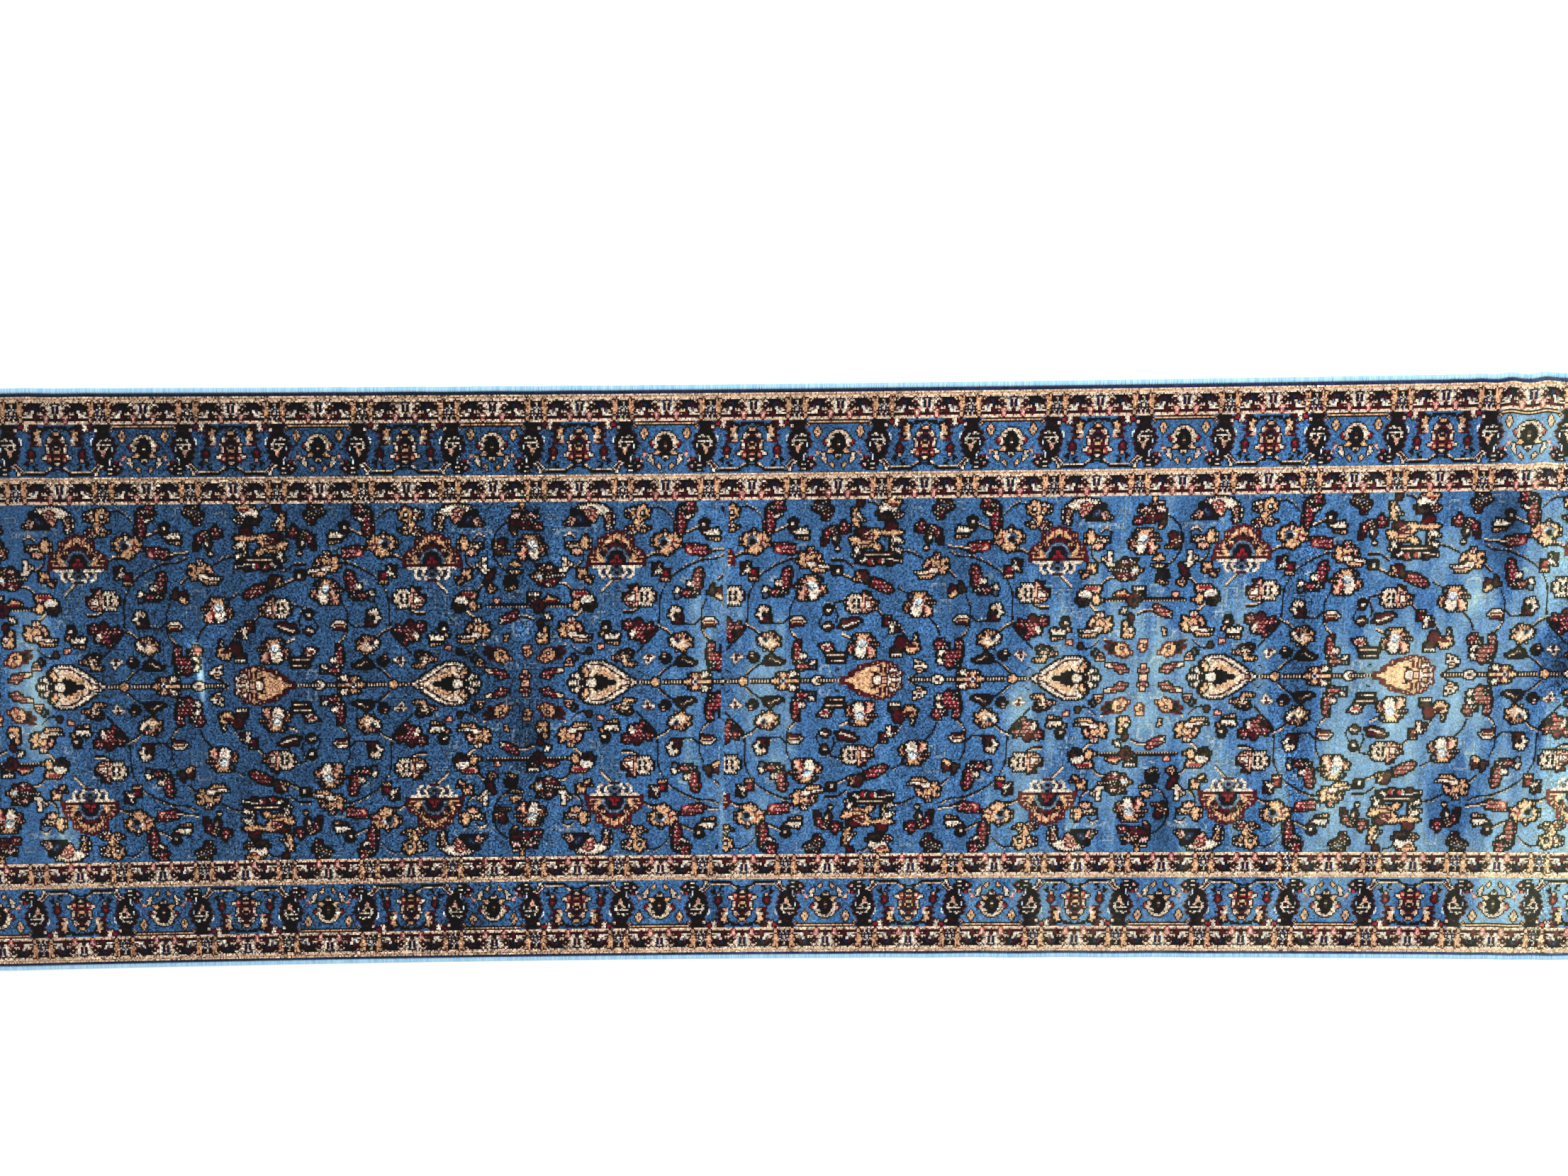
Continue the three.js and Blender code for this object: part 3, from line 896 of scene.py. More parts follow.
# What stands round the tan palmette on the middle line, not turned over either.
round_spade = Panel(-90, 90, 0, 123)
ROUND_AXIS = 1.75
sew(round_spade, [   # tan palmette, its tip to the left
    (CAMEL, area((-24, 0), (-20, 2), (-17, 5), (-13, 7), (-10, 10), (-3, 11), (3, 13), (9, 12), (9, 0))),
    (MAROON, line((-22, 1), (-19, 2), (-16, 4), (-14, 6.4), (-9, 8), (-7, 10), (-1, 10.6), (3, 12), w=1.7)),
    (MAROON, area((-3, 5), (0, 9), (4, 11), (6, 6), (2, 4))),
    (CAMEL, area((-2, 6), (1, 9), (3, 9), (3, 5))),
    (BLACK, box(-1, 3, 1, 6)),
    (SALMON, area((6, 5), (8, 11), (12, 12), (14, 10), (9, 4))),
    (MAROON, line((7, 5), (11, 11))),
    (IVORY, area((8, 0), (9, 5), (12, 8), (16, 8), (19, 4), (18, 0))),
    (CAMEL, area((11, 1), (12, 5), (15, 5), (16, 1))),
    (IVORY, area((-2, 0), (-1, 3), (4, 3), (7, 0))),
    (SALMON, box(4, 0, 8, 2)),
], edge=MAROON)
sew(round_spade, [   # camel flower growing out of a square ring
    (BROWN, box(-12, 83, 12, 87)),
    (BEIGE, box(-10, 85, 10, 86.4)),
    (BROWN, box(8, 84, 11.6, 108)),
    (BEIGE, box(9, 88, 10, 104)),
    (CAMEL, area((-1, 99), (-1, 102), (8, 103), (17, 101), (16, 98), (8, 98))),
    (MAROON, area((4, 101), (5, 107), (12, 107), (12, 102))),
    (MAROON, area((-17, 99), (-16, 104), (-5, 103), (-5, 99))),
    (CAMEL, area((-22, 95), (-18, 99), (-14, 97), (-14, 93), (-18, 92))),
    (CAMEL, area((-8, 97), (-6, 103), (-1, 103), (0, 97), (-4, 94))),
    (SALMON, area((-14, 96), (-13, 99), (-8, 101), (-4, 99), (-6, 95), (-12, 95))),
    (IVORY, line((-12, 96.5), (-8, 97.5), (-6, 99.5), w=1.6)),
    (CAMEL, area((-15, 90), (-14, 95), (-6, 95), (-5, 91), (-9, 90))),
    (CAMEL, area((-5, 91), (-4, 94), (0, 93), (4, 89), (-1, 88))),
    (MAROON, line((-13, 93), (-8, 92), (-5, 94))),
    (IVORY, area((-19, 85), (-17, 91), (-14, 92), (-14, 86), (-17, 84))),
    (BLACK, line((-13, 90), (-11, 87))),
    (IVORY, area((10, 97), (12, 98), (20, 94), (14, 93), (11, 95))),
    (IVORY, area((11, 90), (13, 91), (18, 87), (15, 86), (11, 88))),
])
sew(round_spade, [   # dark foot of the square ring, with red and ivory drops
    (BLACK, area((-16, 80), (-16, 84), (16, 84), (18, 82), (12, 80), (8, 78), (2, 80), (-6, 78))),
    (IVORY, area((-13, 83), (-9, 84), (-9, 81), (-12, 80))),
    (RED, disc(-6, 80.6, 2, 2.2)),
    (IVORY, box(-5, 79, -3.6, 82)),
    (RED, disc(1.5, 81, 2.6, 2)),
    (IVORY, box(2, 79, 4, 83)),
    (IVORY, line((6, 82.6), (12, 81.6), (16, 81), w=1.4)),
    (MAROON, disc(9, 80.2, 1.8, 2)),
])
sew(round_spade, [   # ivory flower with a camel cap, by the guard
    (CAMEL, area((0, 119), (3, 122), (10, 123), (15, 121), (15, 118), (8, 117))),
    (RED, line((3, 119), (8, 120), (13, 119))),
    (IVORY, area((-1, 114), (-1, 119), (4, 120), (9, 117), (12, 118), (12, 114), (5, 115))),
    (IVORY, area((9, 110), (9, 113), (14, 115), (17, 112), (15, 110))),
    (CAMEL, disc(12.5, 112, 1.6, 1.4)),
    (BROWN, area((-2, 110), (-3, 114), (4, 114), (9, 111), (7, 109), (1, 109))),
    (BLACK, area((1, 112), (1, 115), (6, 114), (6, 111))),
])
sew(round_spade, BIRD_FLOWER, 37.5, 75.5)
sew(round_spade, BIRD_FLOWER, -45, 80.5, flip=-1)
sew(round_spade, PALE_FLOWER, 29.5, 51.5)
sew(round_spade, PALE_FLOWER, -47, 63.5, flip=-1)
sew(round_spade, PALE_FLOWER, -8.5, 23.5)
sew(round_spade, [(grapes, area((-5, 70), (1, 69), (12, 63), (9, 59), (0, 62), (-6, 64)))])
sew(round_spade, [   # maroon and camel leaf leading into the grapes
    (CAMEL, area((-17, 68), (-16, 74), (-12, 75), (-12, 70), (-15, 67))),
    (MAROON, area((-13, 70), (-13, 75), (-9, 75), (-6, 71), (-6, 66), (-10, 67))),
    (BROWN, area((-10, 67), (-9, 72), (-6, 72), (-5, 67))),
    (IVORY, line((-14, 69), (-10, 67))),
])
sew(round_spade, SQUARE_HOOK, 8.5, 39.5, flip=1, rise=-1)
sew(round_spade, [   # maroon ball with camel wings and an ivory foot
    (BROWN, area((9, 18), (12, 23), (18, 23), (18, 19), (12, 17))),
    (IVORY, box(9.5, 16, 18, 18.4)),
    (CAMEL, area((20, 20), (21, 27), (24, 25), (29, 27), (31, 22), (28, 18), (23, 18))),
    (MAROON, area((19, 24), (23, 25), (30, 24), (30, 22), (24, 22))),
    (IVORY, area((27, 27), (28, 32), (29.4, 32), (29.4, 27), (31, 26), (28, 25))),
    (MAROON, disc(17, 25.4, 4.2, 4.6)),
])
sew(round_spade, [   # ivory bud on the low branch
    (IVORY, area((27, 9), (27, 15), (30, 13), (35, 12), (36, 8), (31, 5), (28, 6))),
    (MAROON, disc(31, 11, 1.7, 1.4)),
    (CAMEL, box(28, 6, 34, 8)),
])
sew(round_spade, [   # grapes forked like a cup
    (grapes, area((40, 22), (41, 28), (46, 28), (46, 24), (44, 20))),
    (pale_grapes, area((45, 20), (46, 25), (51, 25), (51, 20), (48, 18))),
    (grapes, area((56, 20), (55, 26), (60, 28), (61, 20), (60, 11), (57, 12))),
    (grapes, area((48, 18), (53, 20), (57, 20), (58, 12), (52, 7), (48, 10))),
    (pale_grapes, area((53, 10), (56, 15), (60, 14), (60, 10), (57, 8))),
    (IVORY, area((42, 16), (43, 20), (48, 20), (47, 16))),
    (IVORY, area((42, 10), (43, 15), (48, 14), (46, 10))),
])
sew(round_spade, [   # dark leaf with a camel hook
    (BROWN, area((56, 61), (57, 67), (60, 64), (61, 60), (58, 59))),
    (CAMEL, area((49, 58), (49, 65), (52, 61), (56, 60), (54, 57), (50, 56))),
    (MAROON, area((49, 60), (50, 65), (54, 63), (53, 60))),
])
sew(round_spade, CHAIN_FLOWER, -11, 52.5)
sew(round_spade, SMALL_BALL, -28.5, 75)
sew(round_spade, SMALL_BALL, -34, 48.5, rise=1)
sew(round_spade, [
    (BROWN, area((-38, 35), (-36, 40), (-31, 40), (-30, 36), (-33, 34))),
    (IVORY, line((-36, 37), (-33, 38), w=1.8)),
])
sew(round_spade, [   # long dark leaf with an ivory vein
    (MAROON, area((-27, 36), (-24, 42), (-12, 43), (-10, 41), (-12, 38), (-22, 35))),
    (IVORY, line((-23, 37), (-18, 38.6), (-12, 40.4), w=1.6)),
])
sew(round_spade, [   # star flower on a striped leaf
    (IVORY, area((-42, 24), (-38, 25), (-34, 26), (-30, 25), (-29, 21), (-34, 20), (-38, 22))),
    (RED, line((-38, 24), (-34, 22), (-31, 24), w=1.6)),
    (BROWN, area((-38, 20), (-34, 20), (-20, 19), (-20, 16), (-33, 16))),
    (BEIGE, line((-34, 17.8), (-22, 17.6))),
    (BROWN, area((-34, 14), (-21, 15), (-21, 12), (-32, 12))),
    (BEIGE, line((-31, 13.6), (-23, 13.4))),
])
sew(round_spade, [   # elbow of grapes
    (grapes, area((-58, 20), (-57, 28), (-53, 28), (-52, 18), (-50, 12), (-45, 12), (-46, 8), (-53, 7),
                  (-57, 12))),
    (pale_grapes, box(-57, 11, -52, 14)),
    (IVORY, disc(-50.5, 17, 2.8, 2.2)),
    (IVORY, disc(-43.5, 12.4, 2.8, 2)),
    (SLATE, disc(-43.5, 9, 2.6, 1.4)),
])
sew(round_spade, [(SLATE, ring(-26.5, 4.5, 3.8, 3.8, 1.2))], edge=None)
sew(round_spade, [(BLACK, line((-29, 6), (-26, 8), (-24, 7)))], edge=None)
sew(round_spade, [   # camel sprig with a maroon block by the guard
    (CAMEL, area((-19, 105), (-20, 117), (-16, 117), (-15, 110), (-13, 107), (-13, 104))),
    (IVORY, area((-16, 117), (-14, 113), (-9, 108), (-13, 108), (-17, 113))),
    (MAROON, box(-16, 117.5, -11, 122)),
])
sew(round_spade, [(BLACK, box(-40, 1, -24, 2.3)), (twisted, box(-40, 0, -24, 1))], edge=None, under=True)
vine(round_spade, (-33, 82), (-24, 82), (-17, 77))
vine(round_spade, (-26, 72), (-18, 69), dashed=False)
vine(round_spade, (-22, 55), (-30, 53))
vine(round_spade, (-30, 52), (-27, 44), (-28, 40))
vine(round_spade, (-38, 35), (-40, 40), (-37, 46))
vine(round_spade, (-24, 31), (-18, 28), dashed=False)
vine(round_spade, (13, 63), (21, 59))
vine(round_spade, (-2, 49), (5, 43), dashed=False)
vine(round_spade, (36, 43), (42, 36), (44, 30))
vine(round_spade, (16, 88), (24, 86), (31, 82))
vine(round_spade, (48, 74), (54, 69))
vine(round_spade, (36, 6), (29, 4), (23, 0))
vine(round_spade, (16, 36), (20, 30), dashed=False)
vine(round_spade, (-9, 121), (-4, 120), (0, 117))
vine(round_spade, (47, 90), (56, 89), (63, 88), dashed=False)
stray_hooks(round_spade, ((25, 114, 7, 6), (47, 50, 7, 8), (42, 63, 9, 4), (-53, 91, 6, 4), (-35, 7, 6, 6),
                          (15, 18, 5, 3)))

# Main border: an arched palmette, then a lantern palmette, dark leaves between. y = 0 is the field side.
BORDER_REPEAT = 118
BORDER_KNOTS = 35
border = Panel(-BORDER_REPEAT // 2, BORDER_REPEAT // 2, 0, BORDER_KNOTS, ground=BLUE, bold=False)
for side in (-1, 1):
    sew(border, [   # dark leaf with ivory bars
        (BLACK, area((22, 35), (24, 30), (20, 25), (18, 20), (21, 15), (23, 9), (27, 6), (32, 9),
                     (34, 15), (35, 21),
                     (33, 27), (31, 30), (33, 35))),
        (IVORY, line((22, 24), (25, 25.4), (27, 24))),
        (IVORY, line((29, 24.4), (32, 22.4))),
        (IVORY, line((23, 21.4), (27, 21), (31, 21.6))),
        (BEIGE, line((24.4, 19.4), (27, 18.4))),
        (IVORY, area((30, 22), (32, 21), (33, 18), (31, 18))),
        (SALMON, area((25.6, 18), (29.6, 18), (29, 14), (27, 13))),
        (BEIGE, area((26.6, 17), (28.6, 17), (28, 15))),
        (PALE, line((20, 19), (21.4, 17.4))),
        (PALE, line((22.6, 12), (23.4, 9))),
        (IVORY, disc(30.6, 7.6, 1.7, 1.5)),
        (IVORY, disc(33, 31, 1.3, 1.2)),
        (MAROON, line((26, 31), (30, 29))),
    ], flip=side, edge=MAROON)
    sew(border, [   # dotted buds at the foot of the leaf
        (BLACK, area((14, 7), (16, 11), (20, 11), (24, 8), (28, 6), (27, 1), (21, 1), (15, 3))),
        (ROSE, disc(16.4, 8.6, 1.1, 1.0)),
        (RED, disc(19, 10, 1.3, 1.2)),
        (ROSE, disc(18, 5.4, 1.3, 1.1)),
        (IVORY, disc(20.6, 7.6, 1.0, 0.9)),
        (MAROON, disc(16.6, 4, 1.4, 1.2)),
        (IVORY, line((22.6, 5.6), (25, 5))),
        (IVORY, line((23, 2.6), (26, 2.4))),
        (SALMON, disc(13.2, 12.6, 1.5, 2.0)),
        (RED, disc(12.8, 15, 1.1, 1.1)),
    ], flip=side, edge=None)
    sew(border, [   # splayed ivory leaf
        (IVORY, area((8.6, 6), (6.4, 6), (9.6, 13), (12.4, 13), (12.2, 10))),
        (BEIGE, line((8, 7), (10.6, 12))),
    ], flip=side)
    sew(border, [(CAMEL, area((2, 3.4), (4, 7.4), (6, 6), (4.4, 2.6)))], flip=side)
    sew(border, [   # little cross of four camel petals
        (CAMEL, disc(14.5 - 2.2, 27, 1.5)),
        (CAMEL, disc(14.5 + 2.2, 27, 1.5)),
        (CAMEL, disc(14.5, 27 - 2.2, 1.5)),
        (CAMEL, disc(14.5, 27 + 2.2, 1.5)),
        (SLATE, box(13.7, 26, 15.4, 28)),
    ], flip=side)
    sew(border, [(PALE, area((34, 22), (34, 26), (36.6, 24), (36.4, 20)))], flip=side, edge=None)
    sew(border, [   # ivory flower in the corner of the scroll
        (IVORY, area((38, 32), (38, 35), (43, 35), (42, 31), (40, 30))),
        (RED, disc(35.6, 33.4, 1.7, 1.4)),
        (SALMON, disc(37, 31, 1.2, 1.0)),
    ], flip=side)
    sew(border, [   # camel scroll under a long maroon leaf
        (MAROON, area((41, 20), (39.6, 28), (41, 35), (45, 35), (44, 28), (47, 22), (47, 20))),
        (BLACK, area((42.6, 22), (42, 30), (44, 34), (49.6, 33), (49.4, 22))),
        (CAMEL, area((44.4, 24), (44, 29), (45.4, 32), (48.4, 31), (48, 28), (46.6, 27), (47.4, 24.6))),
        (IVORY, area((45.6, 24), (46, 27), (49, 26), (48.4, 23))),
        (SALMON, box(45, 21, 48.6, 23)),
        (BLACK, area((50, 30), (51, 34), (59, 34), (58, 32), (53, 31))),
    ], flip=side, edge=None)
    sew(border, [   # maroon flower on a dark stem
        (MAROON, disc(41.6, 15, 3.0, 3.2, 4, 0.12)),
        (RED, disc(41.6, 15.6, 1.4, 1.4)),
        (SALMON, disc(42, 11.4, 1.6, 1.1)),
        (IVORY, box(44.4, 9.6, 45.8, 11)),
    ], flip=side)
    sew(border, [
        (BLACK, area((43.4, 2), (43, 8), (46, 9), (46, 4))),
        (BLACK, area((36, 8), (38, 12), (40, 9), (39, 5))),
    ], flip=side, edge=None)
    sew(border, [   # seed pod
        (IVORY, area((31, 2), (31, 6), (34, 7), (36, 4), (34, 1))),
        (MAROON, disc(33.4, 4.6, 1.5, 1.3)),
        (ROSE, line((30.6, 8.6), (32, 7.4))),
    ], flip=side)
    for level, yarn in ((2.2, BLACK), (3.3, BEIGE), (1.2, BLACK)):
        sew(border, [(yarn, line((35, level), (50, level), (53, level + 2.4), (59, level + 4.6), w=1.0))],
            flip=side, edge=None)
    sew(border, [   # lantern palmette, half on each side of the join
        (MAROON, area((59, 15), (53, 15), (52.4, 22), (54, 26), (59, 30))),
        (IVORY, area((52, 15), (51.4, 22), (53, 23), (53.8, 16))),
        (SALMON, line((52.6, 16), (52.4, 21), w=0.9)),
        (CAMEL, area((59, 27.4), (56.6, 28), (57, 31), (59, 32))),
        (IVORY, area((53, 23), (53.4, 27), (57, 26), (56, 23))),
        (CAMEL, area((54, 24), (56, 26), (56, 24))),
        (BLACK, area((59, 22), (56, 22), (55, 18), (59, 16))),
        (NAVY, box(56.6, 20, 59, 24)),
        (CAMEL, area((59, 21), (57.6, 20), (57, 16), (59, 16))),
        (RED, area((59, 15.4), (51, 15.4), (50, 12), (53, 9.4), (59, 11))),
        (CAMEL, area((59, 13.4), (53.6, 13.4), (52, 12), (55, 10.8), (59, 12))),
        (BLACK, line((56, 14), (56, 11))),
        (IVORY, disc(50.6, 13.4, 1.8, 1.8)),
        (BLACK, area((59, 11.4), (56, 11), (55, 8), (59, 7))),
        (BEIGE, disc(58.6, 9.4, 1.2, 1.0)),
    ], flip=side)
sew(border, [   # arched palmette round a dark seed
    (BEIGE, area((-10, 18), (-9.4, 22), (-5.6, 26.4), (-3, 28), (3, 28), (5.6, 26.4), (9.4, 22), (10, 18),
                 (6, 17),
                 (5, 14), (-5, 14), (-6, 17))),
    *pair(BLACK, line, (-7, 21), (-4, 25)),
    *pair(IVORY, area, (-9, 18.4), (-8, 22), (-5, 25), (-5, 20)),
    (IVORY, box(-3.4, 24.6, -0.6, 27.4)),
    (IVORY, box(0.8, 24.6, 3.4, 27.4)),
    *pair(RED, area, (-12, 18), (-12, 20), (-9, 22), (-8.4, 19)),
    (BLACK, disc(0, 18.8, 5.8, 7.4, 9, 0.08)),
    (BROWN, disc(0, 18.6, 1.2, 3.4)),
    (BEIGE, disc(0, 18.6, 0.8, 0.8)),
    (CAMEL, disc(-6, 14.2, 1.9, 1.7)),
    (CAMEL, disc(6, 14.2, 1.9, 1.7)),
    (BEIGE, area((-3.6, 12.4), (3.6, 12.4), (2, 10.4), (0, 9.2), (-2, 10.4))),
    (BROWN, box(-1, 9.4, 1, 11)),
])
for level, yarn in ((34.6, BLACK), (33.5, CAMEL), (32.4, BLACK)):   # bracket over the arch
    sew(border, [
        (yarn, line((-24, level - 3.4), (-20, level), (20, level), (24, level - 3.4), w=1.0)),
    ], edge=None)

# Guard stripes: a blue and ivory palmette, then a vase between two camel flames. y = 0 is the field side.
GUARD_REPEAT = 59
GUARD_KNOTS = 18
guard = Panel(-GUARD_REPEAT // 2, GUARD_REPEAT // 2 + 1, 0, GUARD_KNOTS, ground=BEIGE, bold=False)
guard.X -= 0.5
sew(guard, [
    (BEIGE, box(-40, 14.4, 40, 18)),
    (BEIGE, box(-40, 0, 40, 2.2)),
    (CAMEL, box(-40, 16, 40, 16.6)),
    (BLACK, box(-40, 3.0, 40, 4.0)),
    (IVORY, box(-40, 4.0, 40, 5.2)),
    (MAROON, box(-40, 2.2, 40, 3.0)),
], edge=None)
for side in (-1, 1):
    sew(guard, [(IVORY, area((4.6, 5), (5, 14), (2, 14), (1, 8), (1.6, 4)))], flip=side, edge=None)
    sew(guard, [(NAVY, area((0.4, 4), (1.4, 4), (3.6, 13.6), (1.4, 13.6), (0.8, 8)))], flip=side, edge=None)
    sew(guard, [(SLATE, line((2.4, 10), (3, 13)))], flip=side, edge=None)
    sew(guard, [(SALMON, disc(6.6, 3.6, 2.2, 2.6)), (ROSE, disc(6.6, 3.8, 1.0, 1.1))], flip=side, edge=RED)
    sew(guard, [   # little folded leaf
        (IVORY, area((6, 12), (8, 14), (10, 13), (7, 11))),
        (BLACK, area((6, 8), (8, 11), (10, 9), (8, 7))),
        (BEIGE, disc(7.8, 9, 1.0, 0.8)),
    ], flip=side, edge=MAROON)
    sew(guard, [
        (BLACK, area((11, 7), (10, 12), (12, 14), (15, 14), (17, 15), (19, 13), (21, 12), (20, 6),
                     (16, 5))),
        (NAVY, area((12, 9), (13, 12), (15, 12), (15, 9))),
        (MAROON, area((17, 9), (16, 12), (19, 12), (20, 9))),
        (IVORY, area((14, 9), (16, 9), (20, 4.6), (19, 4), (16.6, 4.2), (15, 6))),
        (SLATE, area((17, 7), (18, 9), (20, 7), (20, 5.4))),
        (MAROON, area((13, 0.8), (10.4, 4), (12, 7), (14, 7), (15.8, 4))),
        (PALE, box(11, 9, 12, 10)),
    ], flip=side, edge=None)
    sew(guard, [   # camel flame
        (CAMEL, area((21.4, 8), (21, 12), (22.6, 15), (24, 13), (25.6, 16), (26, 11), (26.4, 8),
                     (25, 4.6), (22.6, 5.6))),
        (SALMON, line((22.6, 8), (24, 12), w=0.9)),
    ], flip=side, edge=MAROON)
    sew(guard, [
        (CAMEL, area((21, 1.6), (21.6, 3.2), (25, 4.6), (26, 3), (24, 1.4))),
        (IVORY, box(22, 2, 24, 3)),
    ], flip=side, edge=MAROON)
    sew(guard, [   # vase
        (BLACK, area((29.5, 9.4), (26.8, 10), (27, 13), (28.4, 15), (29.5, 15.4))),
        (IVORY, area((29.5, 10), (28.6, 10), (28.6, 12.4), (29.5, 12.8))),
        (NAVY, area((29.5, 4), (27, 4.6), (26.8, 8), (27.8, 9.4), (29.5, 9.6))),
        (PALE, line((27, 8.8), (28.4, 9.2), (29.5, 8), w=1.0)),
        (IVORY, area((27, 1.4), (27, 4.4), (28.2, 4), (28.6, 1.6))),
        (SLATE, box(28.6, 1, 29.5, 3)),
    ], flip=side, edge=None)
twigs = (np.sin(1.9 * np.abs(guard.X)) + np.cos(2.3 * guard.Y) > 0.5) & (guard.Y > 5) & (guard.Y < 14.4)
guard.knots[twigs & (guard.knots == BEIGE)] = BLACK
sew(guard, [(ROSE, box(-1, 9, 1, 12.6)), (IVORY, box(-1, 11.4, 1, 14)), (SALMON, box(-1, 6, 1, 8.6)),
            (MAROON, area((-1.6, 4), (0, 0.6), (1.6, 4), (0, 7))),
                          (MAROON, box(-1, 13.4, 1, 15))], edge=None)

# ------------------------------------------------------------------ the whole chart
# The loom ties the repeats one after another along the rug; the front half is the rear half
# turned over the middle line. Columns run along the rug from its left end, rows from front to rear.
pile_low, pile_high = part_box("field_pile")
COLUMNS = 1544
KNOT_ALONG = (pile_high[0] - pile_low[0]) / COLUMNS     # beaten a little closer than they lie across
FIELD_ROWS = round((pile_high[1] - pile_low[1]) / KNOT)
half_field = np.full((FIELD_ROWS // 2, COLUMNS), EMPTY)


def lay(panel, axis, place, flip=1, first=None, last=None):
    """Copy a panel onto the half field, its axis at a column counted from the rug's middle."""
    for column in range(COLUMNS):
        along = column + 0.5 - COLUMNS / 2
        if (first is not None and along < first) or (last is not None and along > last):
            continue
        source = axis + flip * (along - place)
        i = int(math.floor(source - (panel.X[0, 0] - 0.5)))
        if 0 <= i < panel.knots.shape[1]:
            stitches = panel.knots[:, i]
            use = stitches != EMPTY
            half_field[:len(stitches)][use, column] = stitches[use]


TURN = 185                    # knots from a pair of cream palmettes to the next tan one
SPLICE = 61                   # the extra width woven where the loom's repeat was stepped back
PAIR = 250                    # column of the pair of cream palmettes right of the middle
SPLICED_PAIR = PAIR - 2 * TURN - SPLICE
SEAM = SPLICED_PAIR + 137
PLAIN_ROWS = 3                # knots left plain blue after the seam, but for the stem on the middle line
STEM_ROWS = 8
for place in (PAIR, PAIR + 2 * TURN):
    lay(common, AXIS, place, 1, first=place - TURN, last=place)
    lay(common, AXIS, place, -1, first=place, last=place + TURN)
lay(common, AXIS, SPLICED_PAIR + SPLICE, -1, first=SEAM, last=SPLICED_PAIR + SPLICE + TURN)
lay(round_spade, ROUND_AXIS, SPLICED_PAIR + TURN, -1, first=SPLICED_PAIR + 100, last=SEAM)
lay(common, AXIS, SPLICED_PAIR, -1, first=SPLICED_PAIR, last=SEAM)
lay(common, AXIS, SPLICED_PAIR, 1, first=SPLICED_PAIR - TURN, last=SPLICED_PAIR)
far_pair = SPLICED_PAIR - 2 * TURN
lay(common, AXIS, far_pair, -1, first=far_pair, last=far_pair + TURN)
lay(common, AXIS, far_pair, 1, last=far_pair)
for place, flip in ((PAIR - TURN, 1), (PAIR + TURN, 1), (PAIR + 3 * TURN, 1), (SPLICED_PAIR - TURN, -1),
                    (far_pair - TURN, -1)):
    lay(round_spade, ROUND_AXIS, place, flip, first=SEAM if place == PAIR - TURN else None)
for place, flip in ((PAIR, 1), (PAIR + 2 * TURN, 1), (SPLICED_PAIR, -1), (far_pair, -1)):
    lay(between_spades, AXIS, place, flip)
half_field[STEM_ROWS:, SEAM + COLUMNS // 2:SEAM + COLUMNS // 2 + PLAIN_ROWS] = BLUE
half_field[half_field == EMPTY] = BLUE
field_chart = np.vstack([half_field[::-1], half_field])


def along_rug(panel, repeat, offset):
    """Repeat a border panel along the rug, one of its middles at the offset."""
    columns = (np.arange(COLUMNS) - COLUMNS // 2 - offset + panel.knots.shape[1] // 2) % repeat
    return panel.knots[:, columns]


BORDER_OFFSET = 33
border_chart = along_rug(border, BORDER_REPEAT, BORDER_OFFSET)
guard_chart = along_rug(guard, GUARD_REPEAT, BORDER_OFFSET)

# ------------------------------------------------------------------ pile yarns
# Heat-set polypropylene yarn, cut so that every knot stands up as a soft brush. Each yarn has its colour;
# over it painted light and shade make a patch look lighter or darker, as the leaning tufts would catch the
# light or not.
YARNS = {
    BLUE: srgb(54, 92, 134), BLACK: srgb(10, 6, 8), IVORY: srgb(198, 183, 165), CAMEL: srgb(190, 145, 109),
    MAROON: srgb(60, 8, 17), RED: srgb(128, 22, 34), SALMON: srgb(196, 144, 122), NAVY: srgb(18, 26, 56),
    PALE: srgb(186, 200, 208), BROWN: srgb(46, 28, 21), SLATE: srgb(66, 82, 106), GHOST: srgb(100, 124, 150),
    ROSE: srgb(210, 162, 154), INK: srgb(20, 34, 70), SKY: srgb(76, 128, 178), BEIGE: srgb(198, 171, 146),
}
NAP_SEED = 41
TUFT_SPREAD = 0.62


def smooth_noise(x, y, scale, seed, octaves=3):
    """Soft seeded noise from -1 to 1, the same everywhere in the file for the same place."""
    total = np.zeros_like(x)
    weight = 1.0
    for octave in range(octaves):
        rng = np.random.default_rng(seed + octave)
        lattice = rng.uniform(-1, 1, (64, 64))
        u, v = x / scale + 20.3, y / scale + 20.7
        i, j = np.floor(u).astype(int), np.floor(v).astype(int)
        fu, fv = u - i, v - j
        fu, fv = fu * fu * (3 - 2 * fu), fv * fv * (3 - 2 * fv)
        a = lattice[j % 64, i % 64] * (1 - fu) + lattice[j % 64, (i + 1) % 64] * fu
        b = lattice[(j + 1) % 64, i % 64] * (1 - fu) + lattice[(j + 1) % 64, (i + 1) % 64] * fu
        total += weight * (a * (1 - fv) + b * fv)
        weight *= 0.5
        scale *= 0.47
    return total / 1.75


